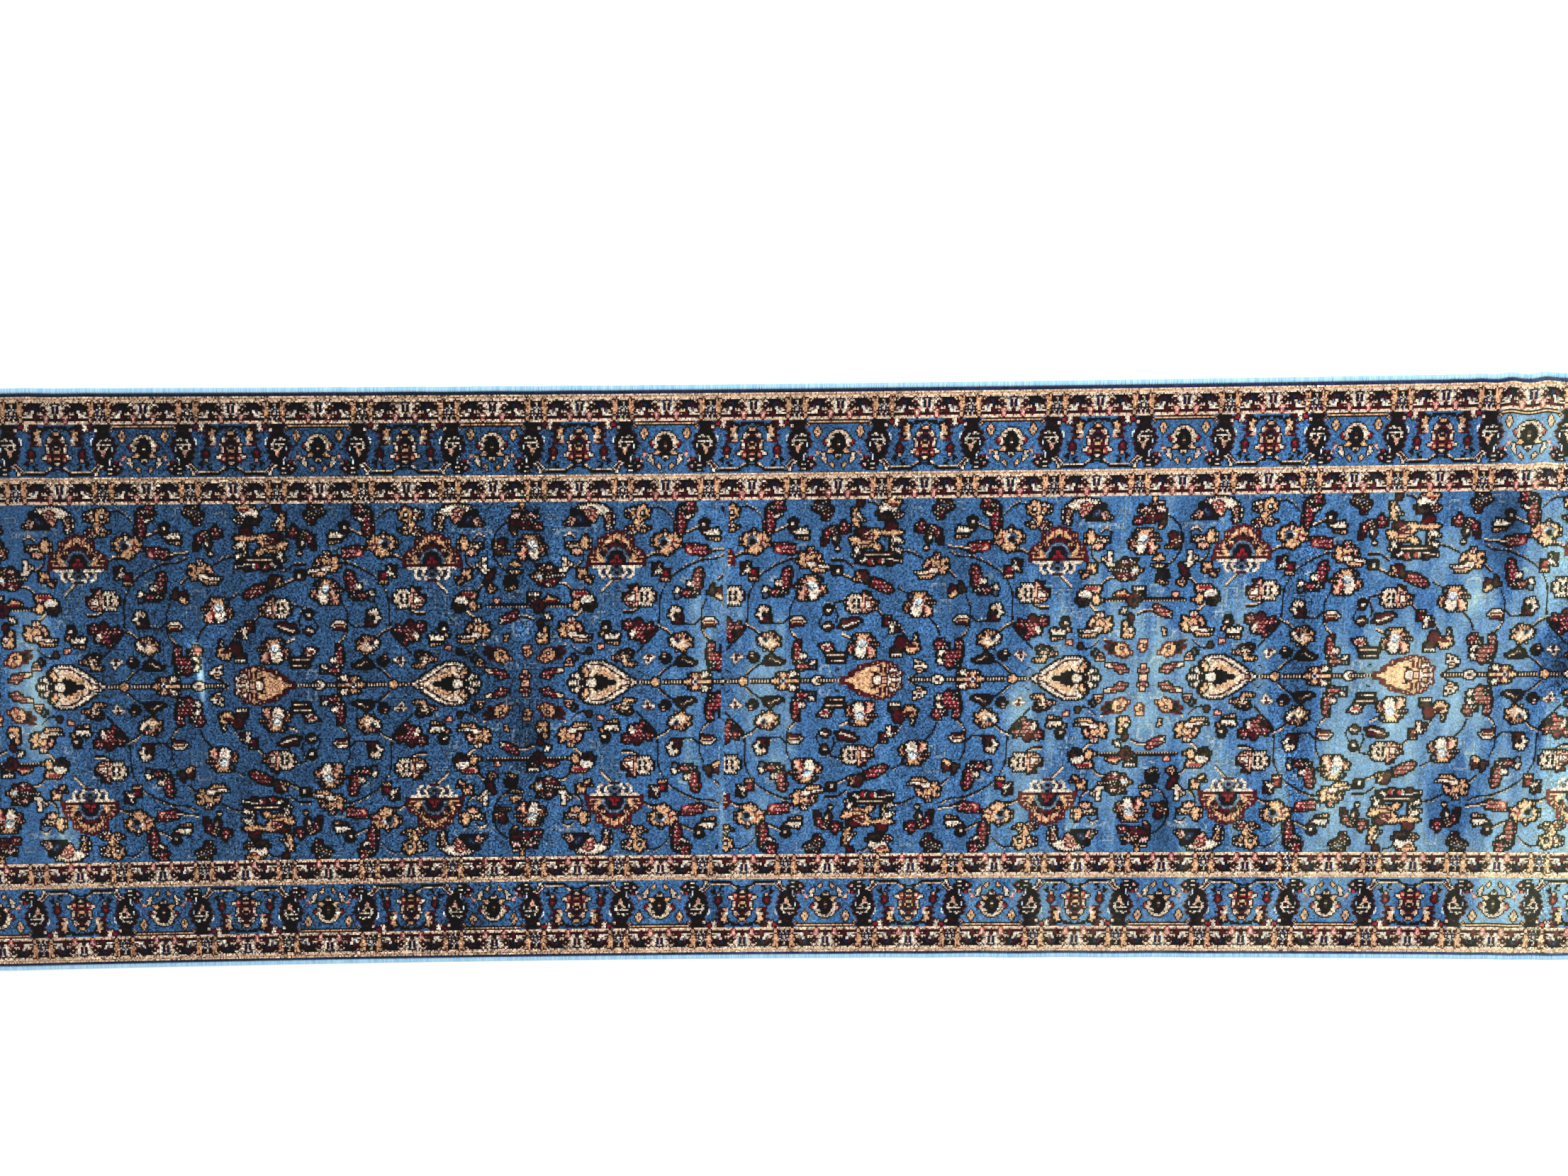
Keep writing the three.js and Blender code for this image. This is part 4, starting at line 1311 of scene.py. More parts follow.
NAP_LIGHT_STROKES = (                    # painted light and dark patches: x, y, half length, half width, turn in degrees, how much lighter (or darker)
    (-0.785, 0.018, 0.0045, 0.038, 2, 3.2),
    (-0.790, 0.052, 0.014, 0.012, 0, 1.3),
    (-0.762, 0.085, 0.016, 0.028, 0, 1.0),
    (-1.010, -0.02, 0.030, 0.160, 8, 1.1),
    (-1.080, 0.090, 0.030, 0.130, 0, -0.5),
    (-0.985, 0.080, 0.020, 0.090, 0, 0.6),
    (-0.990, -0.210, 0.060, 0.050, 0, 0.7),
    (-0.965, 0.030, 0.012, 0.040, -20, 0.8),
    (-0.345, 0.080, 0.010, 0.050, -14, 1.0),
    (-0.330, -0.190, 0.030, 0.060, 0, 0.5),
    (-0.560, 0.170, 0.060, 0.040, 0, 0.3),
    (-0.350, 0.170, 0.028, 0.090, 0, -0.8),
    (-0.400, 0.020, 0.050, 0.080, 0, -0.6),
    (-0.350, -0.120, 0.030, 0.110, 0, -0.9),
    (-0.290, 0.060, 0.014, 0.140, 5, 0.6),
    (-0.300, -0.060, 0.016, 0.060, -8, 0.5),
    (-0.130, 0.060, 0.050, 0.120, 0, 0.5),
    (-0.020, -0.040, 0.050, 0.160, 0, 0.5),
    (0.250, 0.160, 0.040, 0.100, 0, -0.5),
    (0.200, -0.120, 0.040, 0.120, 0, -0.45),
    (0.330, -0.020, 0.040, 0.200, 0, 0.35),
    (0.480, 0.020, 0.050, 0.160, 0, 0.55),
    (0.510, -0.200, 0.020, 0.070, 0, -0.9),
    (0.545, 0.200, 0.018, 0.060, 0, -0.5),
    (0.590, 0.150, 0.030, 0.080, 0, 0.5),
    (0.690, 0.000, 0.022, 0.130, 3, -1.1),
    (0.740, -0.170, 0.020, 0.120, 0, 0.4),
    (0.830, -0.080, 0.060, 0.110, 0, 0.5),
    (0.865, 0.170, 0.030, 0.070, 0, 0.5),
    (0.962, 0.190, 0.020, 0.060, 0, -1.9),
    (0.920, 0.110, 0.020, 0.050, 0, 0.9),
    (0.905, -0.185, 0.035, 0.045, 0, -1.2),
    (0.925, -0.060, 0.025, 0.080, 0, 0.6),
    (1.045, 0.020, 0.026, 0.050, 0, -1.5),
    (1.030, 0.150, 0.030, 0.080, 0, 0.8),
    (1.060, -0.120, 0.030, 0.100, 0, 0.7),
    (0.900, 0.330, 0.030, 0.040, 0, -0.8),
    (1.000, 0.320, 0.035, 0.050, 0, 0.9),
    (-0.520, 0.320, 0.200, 0.040, 0, -0.35),
    (0.860, -0.330, 0.040, 0.035, 0, -0.9),
    (-0.100, -0.330, 0.030, 0.035, 0, -0.9),
    (-0.420, -0.330, 0.030, 0.035, 0, -0.7),
    (1.020, -0.300, 0.110, 0.120, 0, 0.6),
)


def painted_nap_light(x, y):
    """Painted light and shade of the leaning tufts, lighter to the right and to the front: each step of 1
    doubles or halves the colour's brightness.
    """
    nap_light = np.interp(x, (-1.5, -1.05, -0.85, -0.50, -0.30, -0.08, 0.10, 0.25, 0.45, 0.70, 0.85, 1.05, 1.5),
                     (-0.9, -0.68, -1.42, -1.28, -0.82, -0.05, -0.32, -0.22, 0.02, -0.05, 0.12, 0.32, 0.25))
    nap_light = nap_light - 1.0 * y
    nap_light += 0.46 * smooth_noise(x, y * 0.8, 0.13, NAP_SEED)
    nap_light += 0.5 * smooth_noise(x * 1.8, y * 0.6, 0.045, NAP_SEED + 7)
    streak_weight = np.clip((x + 0.6) / 0.5, 0.25, 1)
    nap_light += 0.5 * streak_weight * smooth_noise(x * 5, y * 0.7, 0.07, NAP_SEED + 11)
    ragged = 1 + 0.7 * smooth_noise(x * 2, y, 0.03, NAP_SEED + 3)
    for at_x, at_y, long, wide, turn, amount in NAP_LIGHT_STROKES:
        c, s = math.cos(math.radians(turn)), math.sin(math.radians(turn))
        u = ((x - at_x) * c + (y - at_y) * s) / long
        v = ((y - at_y) * c - (x - at_x) * s) / wide
        nap_light += 1.25 * amount * np.exp(-u * u - v * v) * ragged
    return nap_light


def cut_pile_group():
    """The cut tips of the tufts: their height, and a fine light-and-dark speckle of single fibres."""
    tree, given, out = new_group(
        "Cut pile",
        [("Tuft size", KNOT), ("Fibre size", 0.0011)],
        [("Height", "NodeSocketFloat"), ("Speckle", "NodeSocketFloat")],
    )
    place = node(tree, "ShaderNodeTexCoord").outputs["Object"]
    tufts = node(tree, "ShaderNodeTexVoronoi", feature="F1")
    tree.links.new(place, tufts.inputs["Vector"])
    tree.links.new(maths(tree, "DIVIDE", 0.8, given.outputs["Tuft size"]), tufts.inputs["Scale"])
    fibres = node(tree, "ShaderNodeTexNoise")
    tree.links.new(place, fibres.inputs["Vector"])
    tree.links.new(maths(tree, "DIVIDE", 1.0, given.outputs["Fibre size"]), fibres.inputs["Scale"])
    fibres.inputs["Detail"].default_value = 2
    crown = maths(tree, "SUBTRACT", 1.0, tufts.outputs["Distance"])
    height = maths(tree, "ADD", crown, maths(tree, "MULTIPLY", fibres.outputs["Fac"], 0.5))
    tree.links.new(height, out.inputs["Height"])
    tree.links.new(fibres.outputs["Fac"], out.inputs["Speckle"])
    return tree


CUT_PILE = cut_pile_group()


def pile_material(name, tuft_depth):
    """Reads each knot's yarn number, its tone with painted shade and glints, and its painted nap light from
    the piece's attributes, and mixes in a painted sheen highlight where that light is high.
    """
    material, tree, shader = new_material(name, 0.88, 0.14)
    yarn = node(tree, "ShaderNodeAttribute", attribute_name="yarn")
    dyes = node(tree, "ShaderNodeValToRGB")
    dyes.color_ramp.interpolation = "CONSTANT"
    steps = dyes.color_ramp.elements
    for number in sorted(YARNS):
        step = steps[number] if number < 2 else steps.new(number / len(YARNS))
        step.position = number / len(YARNS)
        step.color = YARNS[number]
    tree.links.new(yarn.outputs["Fac"], dyes.inputs["Fac"])
    pile = use_group(tree, CUT_PILE)
    tone_and_painted_shade = node(tree, "ShaderNodeAttribute", attribute_name="tone_and_painted_shade")
    nap_light = node(tree, "ShaderNodeAttribute", attribute_name="painted_nap_light")
    depth = node(tree, "ShaderNodeRGBToBW")
    tree.links.new(dyes.outputs["Color"], depth.inputs["Color"])
    painted_light_weight = maths(tree, "SUBTRACT", 1.0, maths(tree, "MULTIPLY", depth.outputs["Val"], 1.6))
    light = maths(tree, "POWER", 2.0, maths(tree, "MULTIPLY", nap_light.outputs["Fac"], painted_light_weight))
    grain = maths(tree, "MULTIPLY", maths(tree, "SUBTRACT", pile.outputs["Speckle"], 0.5), 2.6)
    tone = maths(tree, "MULTIPLY", maths(tree, "ADD", tone_and_painted_shade.outputs["Fac"], grain), light)
    adjust = node(tree, "ShaderNodeHueSaturation")
    tree.links.new(tone, adjust.inputs["Value"])
    tree.links.new(dyes.outputs["Color"], adjust.inputs["Color"])
    # Painted sheen highlight: where the painted nap light is high, the colour is mixed towards a pale tint,
    # most strongly on the blue ground.
    painted_sheen_mix = node(tree, "ShaderNodeMix", data_type="RGBA")
    painted_sheen_mix.inputs["B"].default_value = srgb(194, 214, 158)
    tree.links.new(adjust.outputs["Color"], painted_sheen_mix.inputs["A"])
    painted_sheen_ramp = node(tree, "ShaderNodeMapRange")
    painted_sheen_ramp.inputs["From Min"].default_value = 0.0
    painted_sheen_ramp.inputs["From Max"].default_value = 1.7
    painted_sheen_ramp.inputs["To Max"].default_value = 0.68
    tree.links.new(nap_light.outputs["Fac"], painted_sheen_ramp.inputs["Value"])
    painted_sheen_take = maths(tree, "MINIMUM", maths(tree, "MULTIPLY_ADD", depth.outputs["Val"], 7.0, 0.06), 1.0)
    painted_sheen_amount = maths(tree, "MULTIPLY", painted_sheen_ramp.outputs["Result"], maths(tree, "MULTIPLY", painted_sheen_take, painted_light_weight))
    tree.links.new(painted_sheen_amount, painted_sheen_mix.inputs["Factor"])
    tree.links.new(painted_sheen_mix.outputs["Result"], shader.inputs["Base Color"])
    emboss(tree, shader, pile.outputs["Height"], 0.55, tuft_depth)
    shader.inputs["Sheen Weight"].default_value = 0.09
    shader.inputs["Sheen Roughness"].default_value = 0.45
    shader.inputs["Sheen Tint"].default_value = srgb(214, 228, 245)
    return material


pile_yarn = pile_material("Cut pile yarn", 0.45 * MM)

# Every tuft of the rug is sheared a hair high or low, worked out once so that pieces meet exactly.
PILE_ROWS = round((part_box("rear_edge_line_pile")[1][1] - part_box("front_edge_line_pile")[0][1]) / KNOT)
shears = np.random.default_rng(NAP_SEED + 20)
tuft_height = shears.normal(0, 0.16 * MM, (PILE_ROWS + 1, COLUMNS + 1))
tuft_tone_and_glints = 1 + shears.uniform(-TUFT_SPREAD, TUFT_SPREAD, (PILE_ROWS, COLUMNS))
row_shade = 0.035 * shears.normal(0, 1, (1, COLUMNS))
tuft_tone_and_glints += row_shade
tuft_tone_and_glints[shears.random(tuft_tone_and_glints.shape) < 0.07] += 0.9      # painted glints: a few tufts are made much lighter, as if catching the light
tuft_tone_and_glints += 0.03 * shears.normal(0, 1, (PILE_ROWS, 1))
pile_x = (np.arange(COLUMNS + 1) - COLUMNS / 2) * KNOT_ALONG
# The speckle is stronger where the painted nap light is darker.
uneven = 2 ** (-0.45 * painted_nap_light(pile_x[:-1] + KNOT_ALONG / 2, np.zeros(COLUMNS)))
tuft_tone_and_glints = np.maximum(1 + (tuft_tone_and_glints - 1) * uneven, 0.08)
pile_y = (np.arange(PILE_ROWS + 1) - PILE_ROWS / 2) * KNOT
SHOULDER = 2.6 * MM            # the cut edge of the pile is rounded over this much
SHOULDER_DROP = 1.5 * MM


def tufted(name, chart, first_row, first_column, folds, replaced):
    """One closed block of pile: a face for every knot on top, plain walls and underside."""
    rows, cols = chart.shape
    xs = pile_x[first_column:first_column + cols + 1]
    ys = pile_y[first_row:first_row + rows + 1]
    gx, gy = np.meshgrid(xs, ys)
    low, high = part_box(replaced)
    edge = np.minimum(pile_x[-1] - np.abs(gx), pile_y[-1] - np.abs(gy))
    drop = SHOULDER_DROP * np.clip(1 - edge / SHOULDER, 0, 1) ** 2
    trim = tuft_height[first_row:first_row + rows + 1, first_column:first_column + cols + 1]
    top = np.stack([gx.ravel(), gy.ravel(), (high[2] + trim - drop).ravel()], 1)
    foot_front = np.stack([xs, np.full(cols + 1, ys[0]), np.full(cols + 1, low[2])], 1)
    foot_rear = np.stack([xs, np.full(cols + 1, ys[-1]), np.full(cols + 1, low[2])], 1)
    points = drape(np.vstack([top, foot_front, foot_rear]))
    wide = cols + 1
    front0, rear0 = (rows + 1) * wide, (rows + 2) * wide
    i = np.arange(cols)
    a = (np.arange(rows)[:, None] * wide + i[None, :]).ravel()
    crown = np.stack([a, a + 1, a + wide + 1, a + wide], 1)
    last = rows * wide
    front_wall = np.stack([front0 + i, front0 + i + 1, i + 1, i], 1)
    rear_wall = np.stack([last + i, last + i + 1, rear0 + i + 1, rear0 + i], 1)
    under = np.stack([rear0 + i, rear0 + i + 1, front0 + i + 1, front0 + i], 1)
    left_end = [front0] + [k * wide for k in range(rows + 1)] + [rear0]
    right_end = ([front0 + cols] + [k * wide + cols for k in range(rows + 1)] + [rear0 + cols])[::-1]
    faces = np.vstack([crown, front_wall, rear_wall, under]).tolist() + [left_end, right_end]
    piece = mesh_piece(name, points, faces, pile_yarn)
    mesh = piece.data
    smooth = np.zeros(len(faces), bool)
    smooth[:rows * cols] = True
    mesh.polygons.foreach_set("use_smooth", smooth)
    # Where the yarn changes, the tufts part a little; painted shade darkens each knot beside a change.
    seam = np.zeros(chart.shape)
    seam[:, 1:] += chart[:, 1:] != chart[:, :-1]
    seam[:, :-1] += chart[:, 1:] != chart[:, :-1]
    seam[1:] += chart[1:] != chart[:-1]
    seam[:-1] += chart[1:] != chart[:-1]
    tone_and_painted_shade = tuft_tone_and_glints[first_row:first_row + rows, first_column:first_column + cols] * (1 - 0.12 * seam)
    # Painted shade: the walls, ends and underside of the block are made darker than the top.
    darker = 0.72
    walls = np.full(cols + 2, darker)
    dyed = np.concatenate([chart.ravel(), chart[0], chart[-1], np.zeros(cols + 2)])
    per_face = {
        "yarn": (dyed + 0.5) / len(YARNS),
        "tone_and_painted_shade": np.concatenate([tone_and_painted_shade.ravel(), tone_and_painted_shade[0] * darker, tone_and_painted_shade[-1] * darker, walls]),
    }
    for label, values in per_face.items():
        mesh.attributes.new(label, "FLOAT", "FACE").data.foreach_set("value", values.astype(np.float32))
    nap_lights = painted_nap_light(points[:, 0], points[:, 1])
    mesh.attributes.new("painted_nap_light", "FLOAT", "POINT").data.foreach_set("value", nap_lights.astype(np.float32))
    # The bake map: the strip is folded into even rows that fill the square, walls beside each row.
    per_fold = math.ceil(cols / folds)
    fold, across = i // per_fold, i % per_fold
    band = rows + 4
    def cells(v0, v1):
        return np.stack([across, v0, across + 1, v0, across + 1, v1, across, v1], 1)
    j = np.repeat(np.arange(rows), cols)
    side = np.tile(across, rows)
    foot = np.tile(fold, rows) * band + j + 2
    knots_uv = np.stack([side, foot, side + 1, foot, side + 1, foot + 1, side, foot + 1], 1)
    base = fold * band
    rear = base + rows + 2
    strips = [knots_uv, cells(base + 1, base + 2), cells(rear, rear + 1), cells(base, base + 1)]
    uv = np.vstack(strips).reshape(-1, 2).astype(float)
    ends = np.zeros((len(left_end) + len(right_end), 2))
    turn = np.linspace(0, 2 * math.pi, len(left_end), endpoint=False)
    for k, at in enumerate((0.25, 0.75)):
        ends[k * len(left_end):(k + 1) * len(left_end), 0] = per_fold * at + 0.4 * np.cos(turn)
        ends[k * len(left_end):(k + 1) * len(left_end), 1] = folds * band - 0.5 + 0.4 * np.sin(turn)
    uv = np.vstack([uv, ends]) / np.array([per_fold, folds * band])
    mesh.uv_layers.new(name="OFBake").data.foreach_set("uv", uv.ravel().astype(np.float32))
    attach(piece, BODY)
    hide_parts(replaced)
    return piece


# ------------------------------------------------------------------ field
# The blue field of cut tufts between the borders, tied knot by knot into the ground cloth.
# It is made in four lengths so that no block of pile has too many tufts.
FIELD_LENGTHS = 4
field_first = (PILE_ROWS - FIELD_ROWS) // 2
cuts = [round(COLUMNS * k / FIELD_LENGTHS) for k in range(FIELD_LENGTHS + 1)]
for number in range(FIELD_LENGTHS):
    start, stop = cuts[number], cuts[number + 1]
    tufted("field_pile_length_%d" % (number + 1), field_chart[:, start:stop],
                             field_first, start, 1, "field_pile")

# ------------------------------------------------------------------ borders and guards
# Each long side has a plain edge line, an outer guard, the main border and an inner guard,
# tied from the same charts: the front side's are turned over so that they mirror the rear.
EDGE_ROWS = round((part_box("rear_edge_line_pile")[1][1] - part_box("rear_edge_line_pile")[0][1]) / KNOT)
edge_chart = np.full((EDGE_ROWS, COLUMNS), INK)
BANDS = (                      # from the field outwards: piece, chart, folds of its bake map, slot
    ("inner_guard_pile", guard_chart, 8, "guard_pile"),
    ("main_border_pile", border_chart, 6, "main_border_pile"),
    ("outer_guard_pile", guard_chart, 8, "guard_pile"),
    ("edge_line_pile", edge_chart, 14, "edge_line_pile"),
)
for side in ("front", "rear"):
    row = field_first if side == "front" else field_first + FIELD_ROWS
    for band_name, chart, folds, band_slot in BANDS:
        deep = chart.shape[0]
        first = row - deep if side == "front" else row
        facing = chart[::-1] if side == "front" else chart
        tufted("%s_%s_tufts" % (side, band_name), facing, first, 0, folds,
                                 "%s_%s" % (side, band_name))
        row = first if side == "front" else row + deep

# ------------------------------------------------------------------ edge cords
# A twisted cotton cord laid along every raw side of the cloth, for the overlock stitch to wrap.
# It fills out the whipped edge and keeps it round.
CORD_SIDES = 12
CORD_STEP = 15 * MM


def cord_material():
    """Pale cotton whose strands run slantwise round the cord."""
    material, tree, shader = new_material("Twisted cotton cord", 0.9, 0.2)
    place = node(tree, "ShaderNodeTexCoord").outputs["Object"]
    axes = node(tree, "ShaderNodeSeparateXYZ")
    tree.links.new(place, axes.inputs[0])
    run = maths(tree, "ADD", maths(tree, "ADD", axes.outputs["X"], axes.outputs["Y"]), axes.outputs["Z"])
    strand = maths(tree, "ABSOLUTE", maths(tree, "SINE", maths(tree, "MULTIPLY", run, math.pi / (2.4 * MM))))
    fuzz = fuzz_noise(tree, place, 900, 2)
    # The colour is darker where the strand height is low, in the grooves between strands: painted shade.
    ramp = node(tree, "ShaderNodeValToRGB")
    ramp.color_ramp.elements[0].color = srgb(168, 156, 132)
    ramp.color_ramp.elements[1].color = srgb(226, 218, 198)
    tree.links.new(maths(tree, "MULTIPLY", maths(tree, "ADD", strand, fuzz), 0.6), ramp.inputs["Fac"])
    tree.links.new(ramp.outputs["Color"], shader.inputs["Base Color"])
    emboss(tree, shader, strand, 0.9, 0.5 * MM)
    return material


cord_cotton = cord_material()


def edge_cord(name, replaced):
    low, high = (np.array(corner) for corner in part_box(replaced))
    span = high - low
    length_axis = 0 if span[0] > span[1] else 1
    cross_axis = 1 - length_axis
    count = max(2, round(span[length_axis] / CORD_STEP))
    radius = span[2] / 2
    middle = (low + high) / 2
    points, faces = [], []
    for k in range(count + 1):
        for s in range(CORD_SIDES):
            turn = 2 * math.pi * s / CORD_SIDES
            p = middle.copy()
            p[length_axis] = low[length_axis] + span[length_axis] * k / count
            p[cross_axis] += radius * math.cos(turn) * (1 if length_axis == 0 else -1)
            p[2] += radius * math.sin(turn)
            points.append(p)
    for k in range(count):
        for s in range(CORD_SIDES):
            t = (s + 1) % CORD_SIDES
            a, b = k * CORD_SIDES, (k + 1) * CORD_SIDES
            faces.append((a + s, b + s, b + t, a + t)[::-1])
    faces.append(tuple(range(CORD_SIDES))[::-1])
    faces.append(tuple(count * CORD_SIDES + s for s in range(CORD_SIDES)))
    piece = mesh_piece(name, drape(points), faces, cord_cotton)
    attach(piece, BODY)
    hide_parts(replaced)
    return piece


SIDES = ("front", "rear", "left_end", "right_end")
for side in SIDES:
    edge_cord(side + "_cord_strand", side + "_cord")

# ------------------------------------------------------------------ serging
# Pale blue yarn whipped round the cord and through the edge of the cloth, stitch beside stitch,
# on all four sides: it covers the cut edge and keeps it from fraying.
STITCH_PITCH = 1.6 * MM
YARN_HALF_WIDTH = 1.0 * MM
YARN_HALF_THICK = 0.42 * MM
serging_low, serging_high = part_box("front_serging")
NOSE = (serging_high[2] - serging_low[2]) / 2
REACH = serging_high[1] - serging_low[1]


def serging_material():
    """Pale blue yarn, each stitch a little lighter or darker than the next."""
    material, tree, shader = new_material("Serging yarn", 0.7, 0.3)
    place = node(tree, "ShaderNodeTexCoord").outputs["Object"]
    strand = node(tree, "ShaderNodeAttribute", attribute_name="strand")
    dye = node(tree, "ShaderNodeValToRGB")
    dye.color_ramp.elements[0].color = srgb(132, 182, 214)
    dye.color_ramp.elements[1].color = srgb(170, 210, 232)
    tree.links.new(strand.outputs["Fac"], dye.inputs["Fac"])
    fuzz = fuzz_noise(tree, place, 1400, 2)
    tone = node(tree, "ShaderNodeHueSaturation")
    tree.links.new(maths(tree, "ADD", maths(tree, "MULTIPLY", fuzz, 0.5), 0.75), tone.inputs["Value"])
    tree.links.new(dye.outputs["Color"], tone.inputs["Color"])
    tree.links.new(tone.outputs["Color"], shader.inputs["Base Color"])
    emboss(tree, shader, fuzz, 0.6, 0.2 * MM)
    shader.inputs["Sheen Weight"].default_value = 0.3
    return material


serging_yarn = serging_material()


def one_stitch():
    """A flat strand from under the cloth, round the cord and onto the top: its y points into the rug."""
    centre = NOSE
    radius = NOSE - YARN_HALF_THICK
    path = [(REACH - 0.4 * MM, YARN_HALF_THICK), (centre, YARN_HALF_THICK)]
    arc_steps = 5
    for k in range(1, arc_steps):
        turn = -math.pi / 2 - math.pi * k / arc_steps
        path.append((centre + radius * math.cos(turn), centre + radius * math.sin(turn)))
    path += [(centre, 2 * NOSE - YARN_HALF_THICK), (REACH - 1.9 * MM, 2 * NOSE - 0.7 * MM),
             (REACH - 0.2 * MM, 2 * NOSE - 2.1 * MM)]
    sides = 5
    points, faces = [], []
    for k, (y, z) in enumerate(path):
        before, after = path[max(k - 1, 0)], path[min(k + 1, len(path) - 1)]
        ty, tz = after[0] - before[0], after[1] - before[1]
        size = math.hypot(ty, tz)
        ny, nz = -tz / size, ty / size
        slim = 0.75 if k in (0, len(path) - 1) else 1.0
        for s in range(sides):
            turn = 2 * math.pi * s / sides
            off = YARN_HALF_THICK * math.sin(turn) * slim
            points.append((YARN_HALF_WIDTH * math.cos(turn) * slim, y + ny * off, z + nz * off))
    for k in range(len(path) - 1):
        for s in range(sides):
            t = (s + 1) % sides
            a, b = k * sides, (k + 1) * sides
            faces.append((a + s, a + t, b + t, b + s))
    faces.append(tuple(range(sides))[::-1])
    faces.append(tuple((len(path) - 1) * sides + s for s in range(sides)))
    return mesh_piece("serging_stitch", points, faces, serging_yarn)


def stitching_tree():
    """Stitches at even steps along a straight seam, each a little turned."""
    tree = bpy.data.node_groups.new("Overlock stitching", "GeometryNodeTree")
    tree.interface.new_socket(name="Geometry", in_out="OUTPUT", socket_type="NodeSocketGeometry")
    kinds = (("Stitch", "NodeSocketObject"), ("Start", "NodeSocketVector"), ("End", "NodeSocketVector"),
             ("Count", "NodeSocketInt"), ("Heading", "NodeSocketFloat"), ("Unevenness", "NodeSocketFloat"),
             ("Yarn", "NodeSocketMaterial"))
    for label, kind in kinds:
        tree.interface.new_socket(name=label, in_out="INPUT", socket_type=kind)
    given, out = node(tree, "NodeGroupInput"), node(tree, "NodeGroupOutput")
    seam = node(tree, "GeometryNodeMeshLine", mode="END_POINTS")
    tree.links.new(given.outputs["Start"], seam.inputs["Start Location"])
    tree.links.new(given.outputs["End"], seam.inputs["Offset"])
    tree.links.new(given.outputs["Count"], seam.inputs["Count"])
    stitch = node(tree, "GeometryNodeObjectInfo")
    tree.links.new(given.outputs["Stitch"], stitch.inputs["Object"])
    wander = node(tree, "FunctionNodeRandomValue", data_type="FLOAT")
    wander.inputs["Min"].default_value = -1
    wander.inputs["Max"].default_value = 1
    wander.inputs["Seed"].default_value = 5
    skew = maths(tree, "MULTIPLY", wander.outputs[1], given.outputs["Unevenness"])
    heading = maths(tree, "ADD", given.outputs["Heading"], skew)
    turn = node(tree, "ShaderNodeCombineXYZ")
    tree.links.new(heading, turn.inputs["Z"])
    place = node(tree, "GeometryNodeInstanceOnPoints")
    tree.links.new(seam.outputs["Mesh"], place.inputs["Points"])
    tree.links.new(stitch.outputs["Geometry"], place.inputs["Instance"])
    tree.links.new(turn.outputs[0], place.inputs["Rotation"])
    strand = node(tree, "FunctionNodeRandomValue", data_type="FLOAT")
    strand.inputs["Seed"].default_value = 9
    keep = node(tree, "GeometryNodeStoreNamedAttribute", data_type="FLOAT", domain="INSTANCE")
    keep.inputs["Name"].default_value = "strand"
    tree.links.new(place.outputs["Instances"], keep.inputs["Geometry"])
    tree.links.new(strand.outputs[1], keep.inputs["Value"])
    real = node(tree, "GeometryNodeRealizeInstances")
    tree.links.new(keep.outputs["Geometry"], real.inputs["Geometry"])
    dress = node(tree, "GeometryNodeSetMaterial")
    tree.links.new(real.outputs["Geometry"], dress.inputs["Geometry"])
    tree.links.new(given.outputs["Yarn"], dress.inputs["Material"])
    tree.links.new(dress.outputs["Geometry"], out.inputs["Geometry"])
    return tree


STITCHING = stitching_tree()
stitch_shape = one_stitch()


def serged_side(name, replaced, start, end, heading):
    """Whip one side of the rug from start to end and lay it as the cloth lies."""
    holder = bpy.data.objects.new(name + "_seam", bpy.data.meshes.new(name + "_seam"))
    bpy.context.scene.collection.objects.link(holder)
    seam = holder.modifiers.new("Stitching", "NODES")
    seam.node_group = STITCHING
    run = math.dist(start, end)
    values = {"Stitch": stitch_shape, "Start": start, "End": end, "Count": round(run / STITCH_PITCH) + 1,
              "Heading": heading, "Unevenness": 0.05, "Yarn": serging_yarn}
    for item in STITCHING.interface.items_tree:
        if item.item_type == "SOCKET" and item.in_out == "INPUT":
            seam[item.identifier] = values[item.name]
    graph = bpy.context.evaluated_depsgraph_get()
    mesh = bpy.data.meshes.new_from_object(holder.evaluated_get(graph), depsgraph=graph)
    bpy.data.objects.remove(holder)
    mesh.name = name
    flat = np.empty(len(mesh.vertices) * 3)
    mesh.vertices.foreach_get("co", flat)
    mesh.vertices.foreach_set("co", drape(flat.reshape(-1, 3)).ravel())
    mesh.polygons.foreach_set("use_smooth", [True] * len(mesh.polygons))
    mesh.update()
    piece = bpy.data.objects.new(name, mesh)
    bpy.context.scene.collection.objects.link(piece)
    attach(piece, BODY)
    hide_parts(replaced)
    return piece


end_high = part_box("left_end_serging")[1]
x_out, y_out = HALF_LENGTH, HALF_WIDTH
long_x = x_out - YARN_HALF_WIDTH
short_y = end_high[1] - YARN_HALF_WIDTH
SEAMS = (                      # side, start, end, which way its stitches face
    ("front", (-long_x, -y_out, 0), (long_x, -y_out, 0), 0.0),
    ("rear", (-long_x, y_out, 0), (long_x, y_out, 0), math.pi),
    ("left_end", (-x_out, -short_y, 0), (-x_out, short_y, 0), -math.pi / 2),
    ("right_end", (x_out, -short_y, 0), (x_out, short_y, 0), math.pi / 2),
)
for side, start, end, heading in SEAMS:
    serged_side(side + "_whipping", side + "_serging", start, end, heading)
bpy.data.objects.remove(stitch_shape)

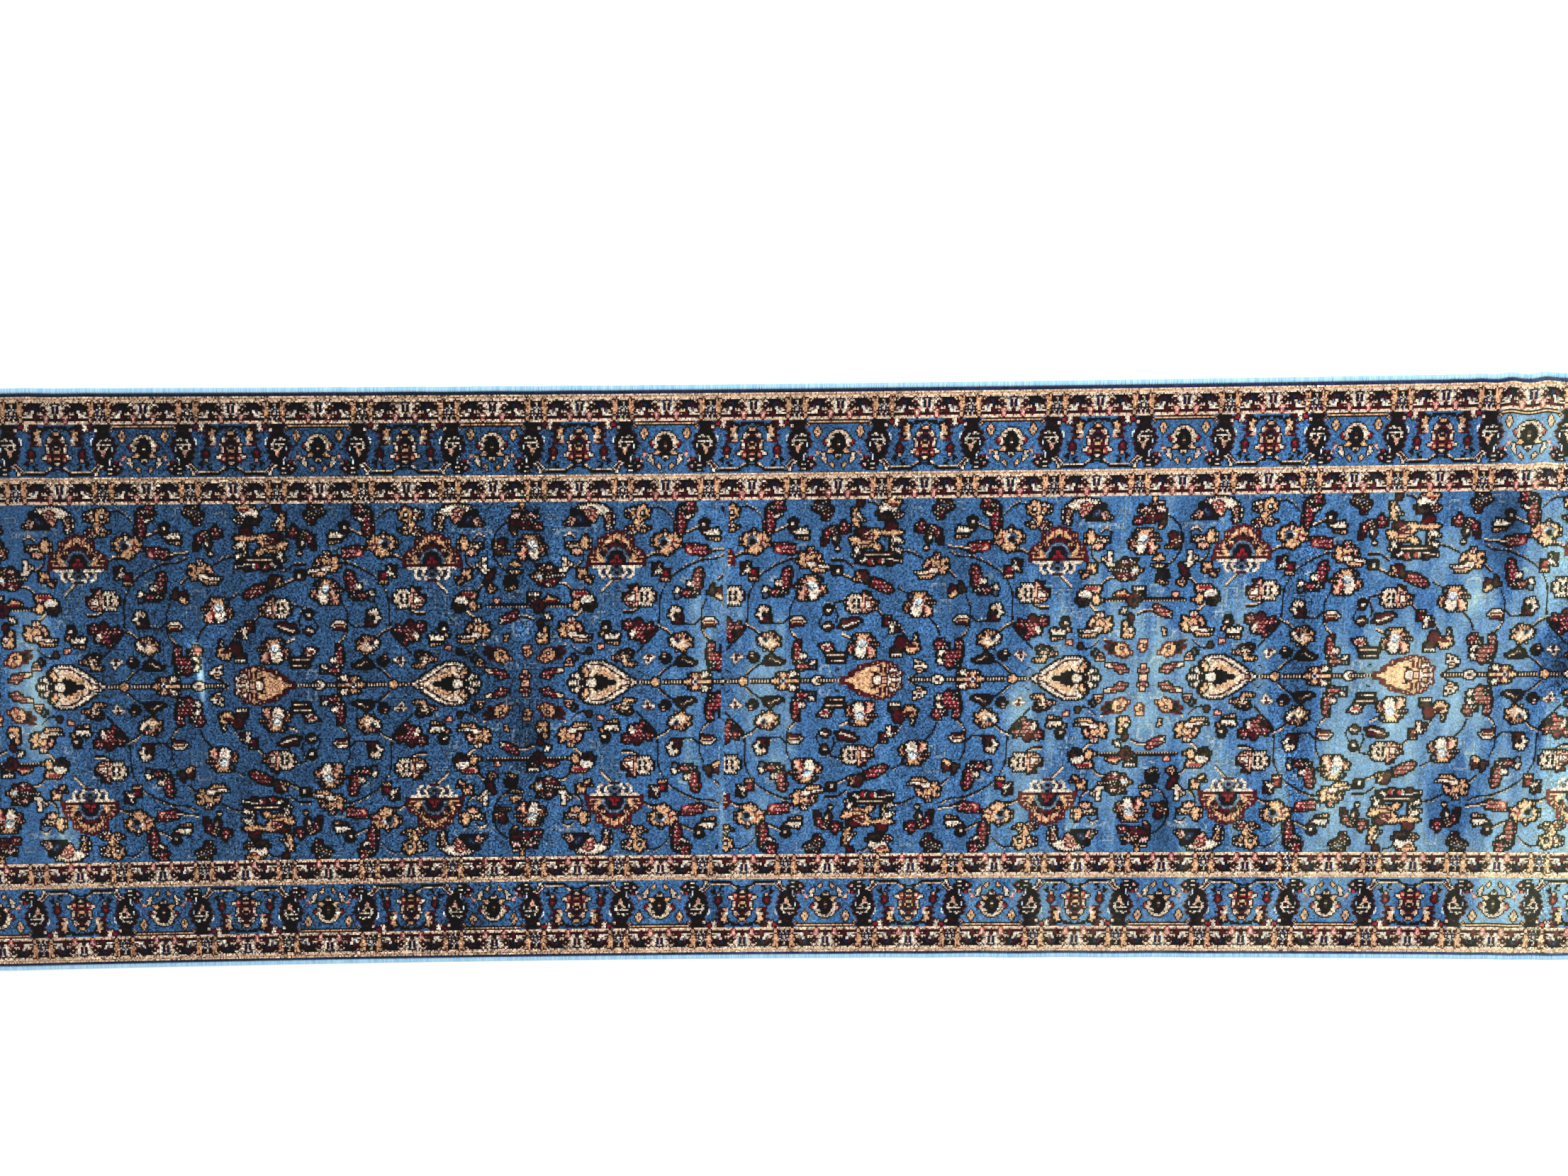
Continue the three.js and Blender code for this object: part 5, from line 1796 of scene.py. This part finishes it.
# ------------------------------------------------------------------ the sheet
# The ground cloth is the one sheet of the rug: coat, pile, cords and whipping are all worked
# onto it, so it is entered only when they are made.
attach(ground_cloth, BODY)
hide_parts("ground_cloth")

# ------------------------------------------------------------------ floor, light and camera
# A plain white floor that the rug lies on, one wide soft lamp above and to the right, and a
# camera held nearly straight above the rug, tilted a little towards its rear side.
FLOOR_SIZE = 14.0
FLOOR_DROP = 0.2 * MM


floor_paint, _, floor_shader = new_material("Plain pale floor", 0.8, 0.1)
floor_shader.inputs["Base Color"].default_value = (0.95, 0.95, 0.95, 1)
half_floor = FLOOR_SIZE / 2
floor_corners = [(-half_floor, -half_floor, -FLOOR_DROP), (half_floor, -half_floor, -FLOOR_DROP),
                 (half_floor, half_floor, -FLOOR_DROP), (-half_floor, half_floor, -FLOOR_DROP)]
floor = mesh_piece("floor", floor_corners, [(0, 1, 2, 3)], floor_paint, smooth=False)

scene = bpy.context.scene
scene.view_settings.view_transform = "Standard"
world = bpy.data.worlds.new("Soft room")
world.use_nodes = True
world.node_tree.nodes["Background"].inputs["Color"].default_value = (1.0, 1.0, 1.0, 1)
world.node_tree.nodes["Background"].inputs["Strength"].default_value = 0.85
scene.world = world


def soft_lamp(name, place, aim, size, power):
    """One round lamp, turned to face what it is aimed at."""
    lamp = bpy.data.lights.new(name, "AREA")
    lamp.shape = "DISK"
    lamp.size = size
    lamp.energy = power
    made = bpy.data.objects.new(name, lamp)
    scene.collection.objects.link(made)
    x, y, z = (aim[k] - place[k] for k in range(3))
    made.location = place
    made.rotation_euler = (math.atan2(math.hypot(x, y), -z), 0, math.atan2(y, x) - math.pi / 2)


soft_lamp("key_lamp", (1.4, 1.2, 2.6), (0.0, 0, 0), 1.2, 80)

CAMERA_HEIGHT = 1.515
CAMERA_REARWARD = 0.278
CAMERA_SIDE = 0.002
CAMERA_TILT = math.radians(-5.78)
CAMERA_ROLL = math.radians(-0.53)
LENS = 26.04
lens = bpy.data.cameras.new("camera")
lens.sensor_width = 36
lens.lens = LENS
camera = bpy.data.objects.new("camera", lens)
camera.rotation_mode = "XYZ"
camera.location = (CAMERA_SIDE, CAMERA_REARWARD, CAMERA_HEIGHT)
camera.rotation_euler = (CAMERA_TILT, 0, CAMERA_ROLL)
scene.collection.objects.link(camera)
scene.camera = camera
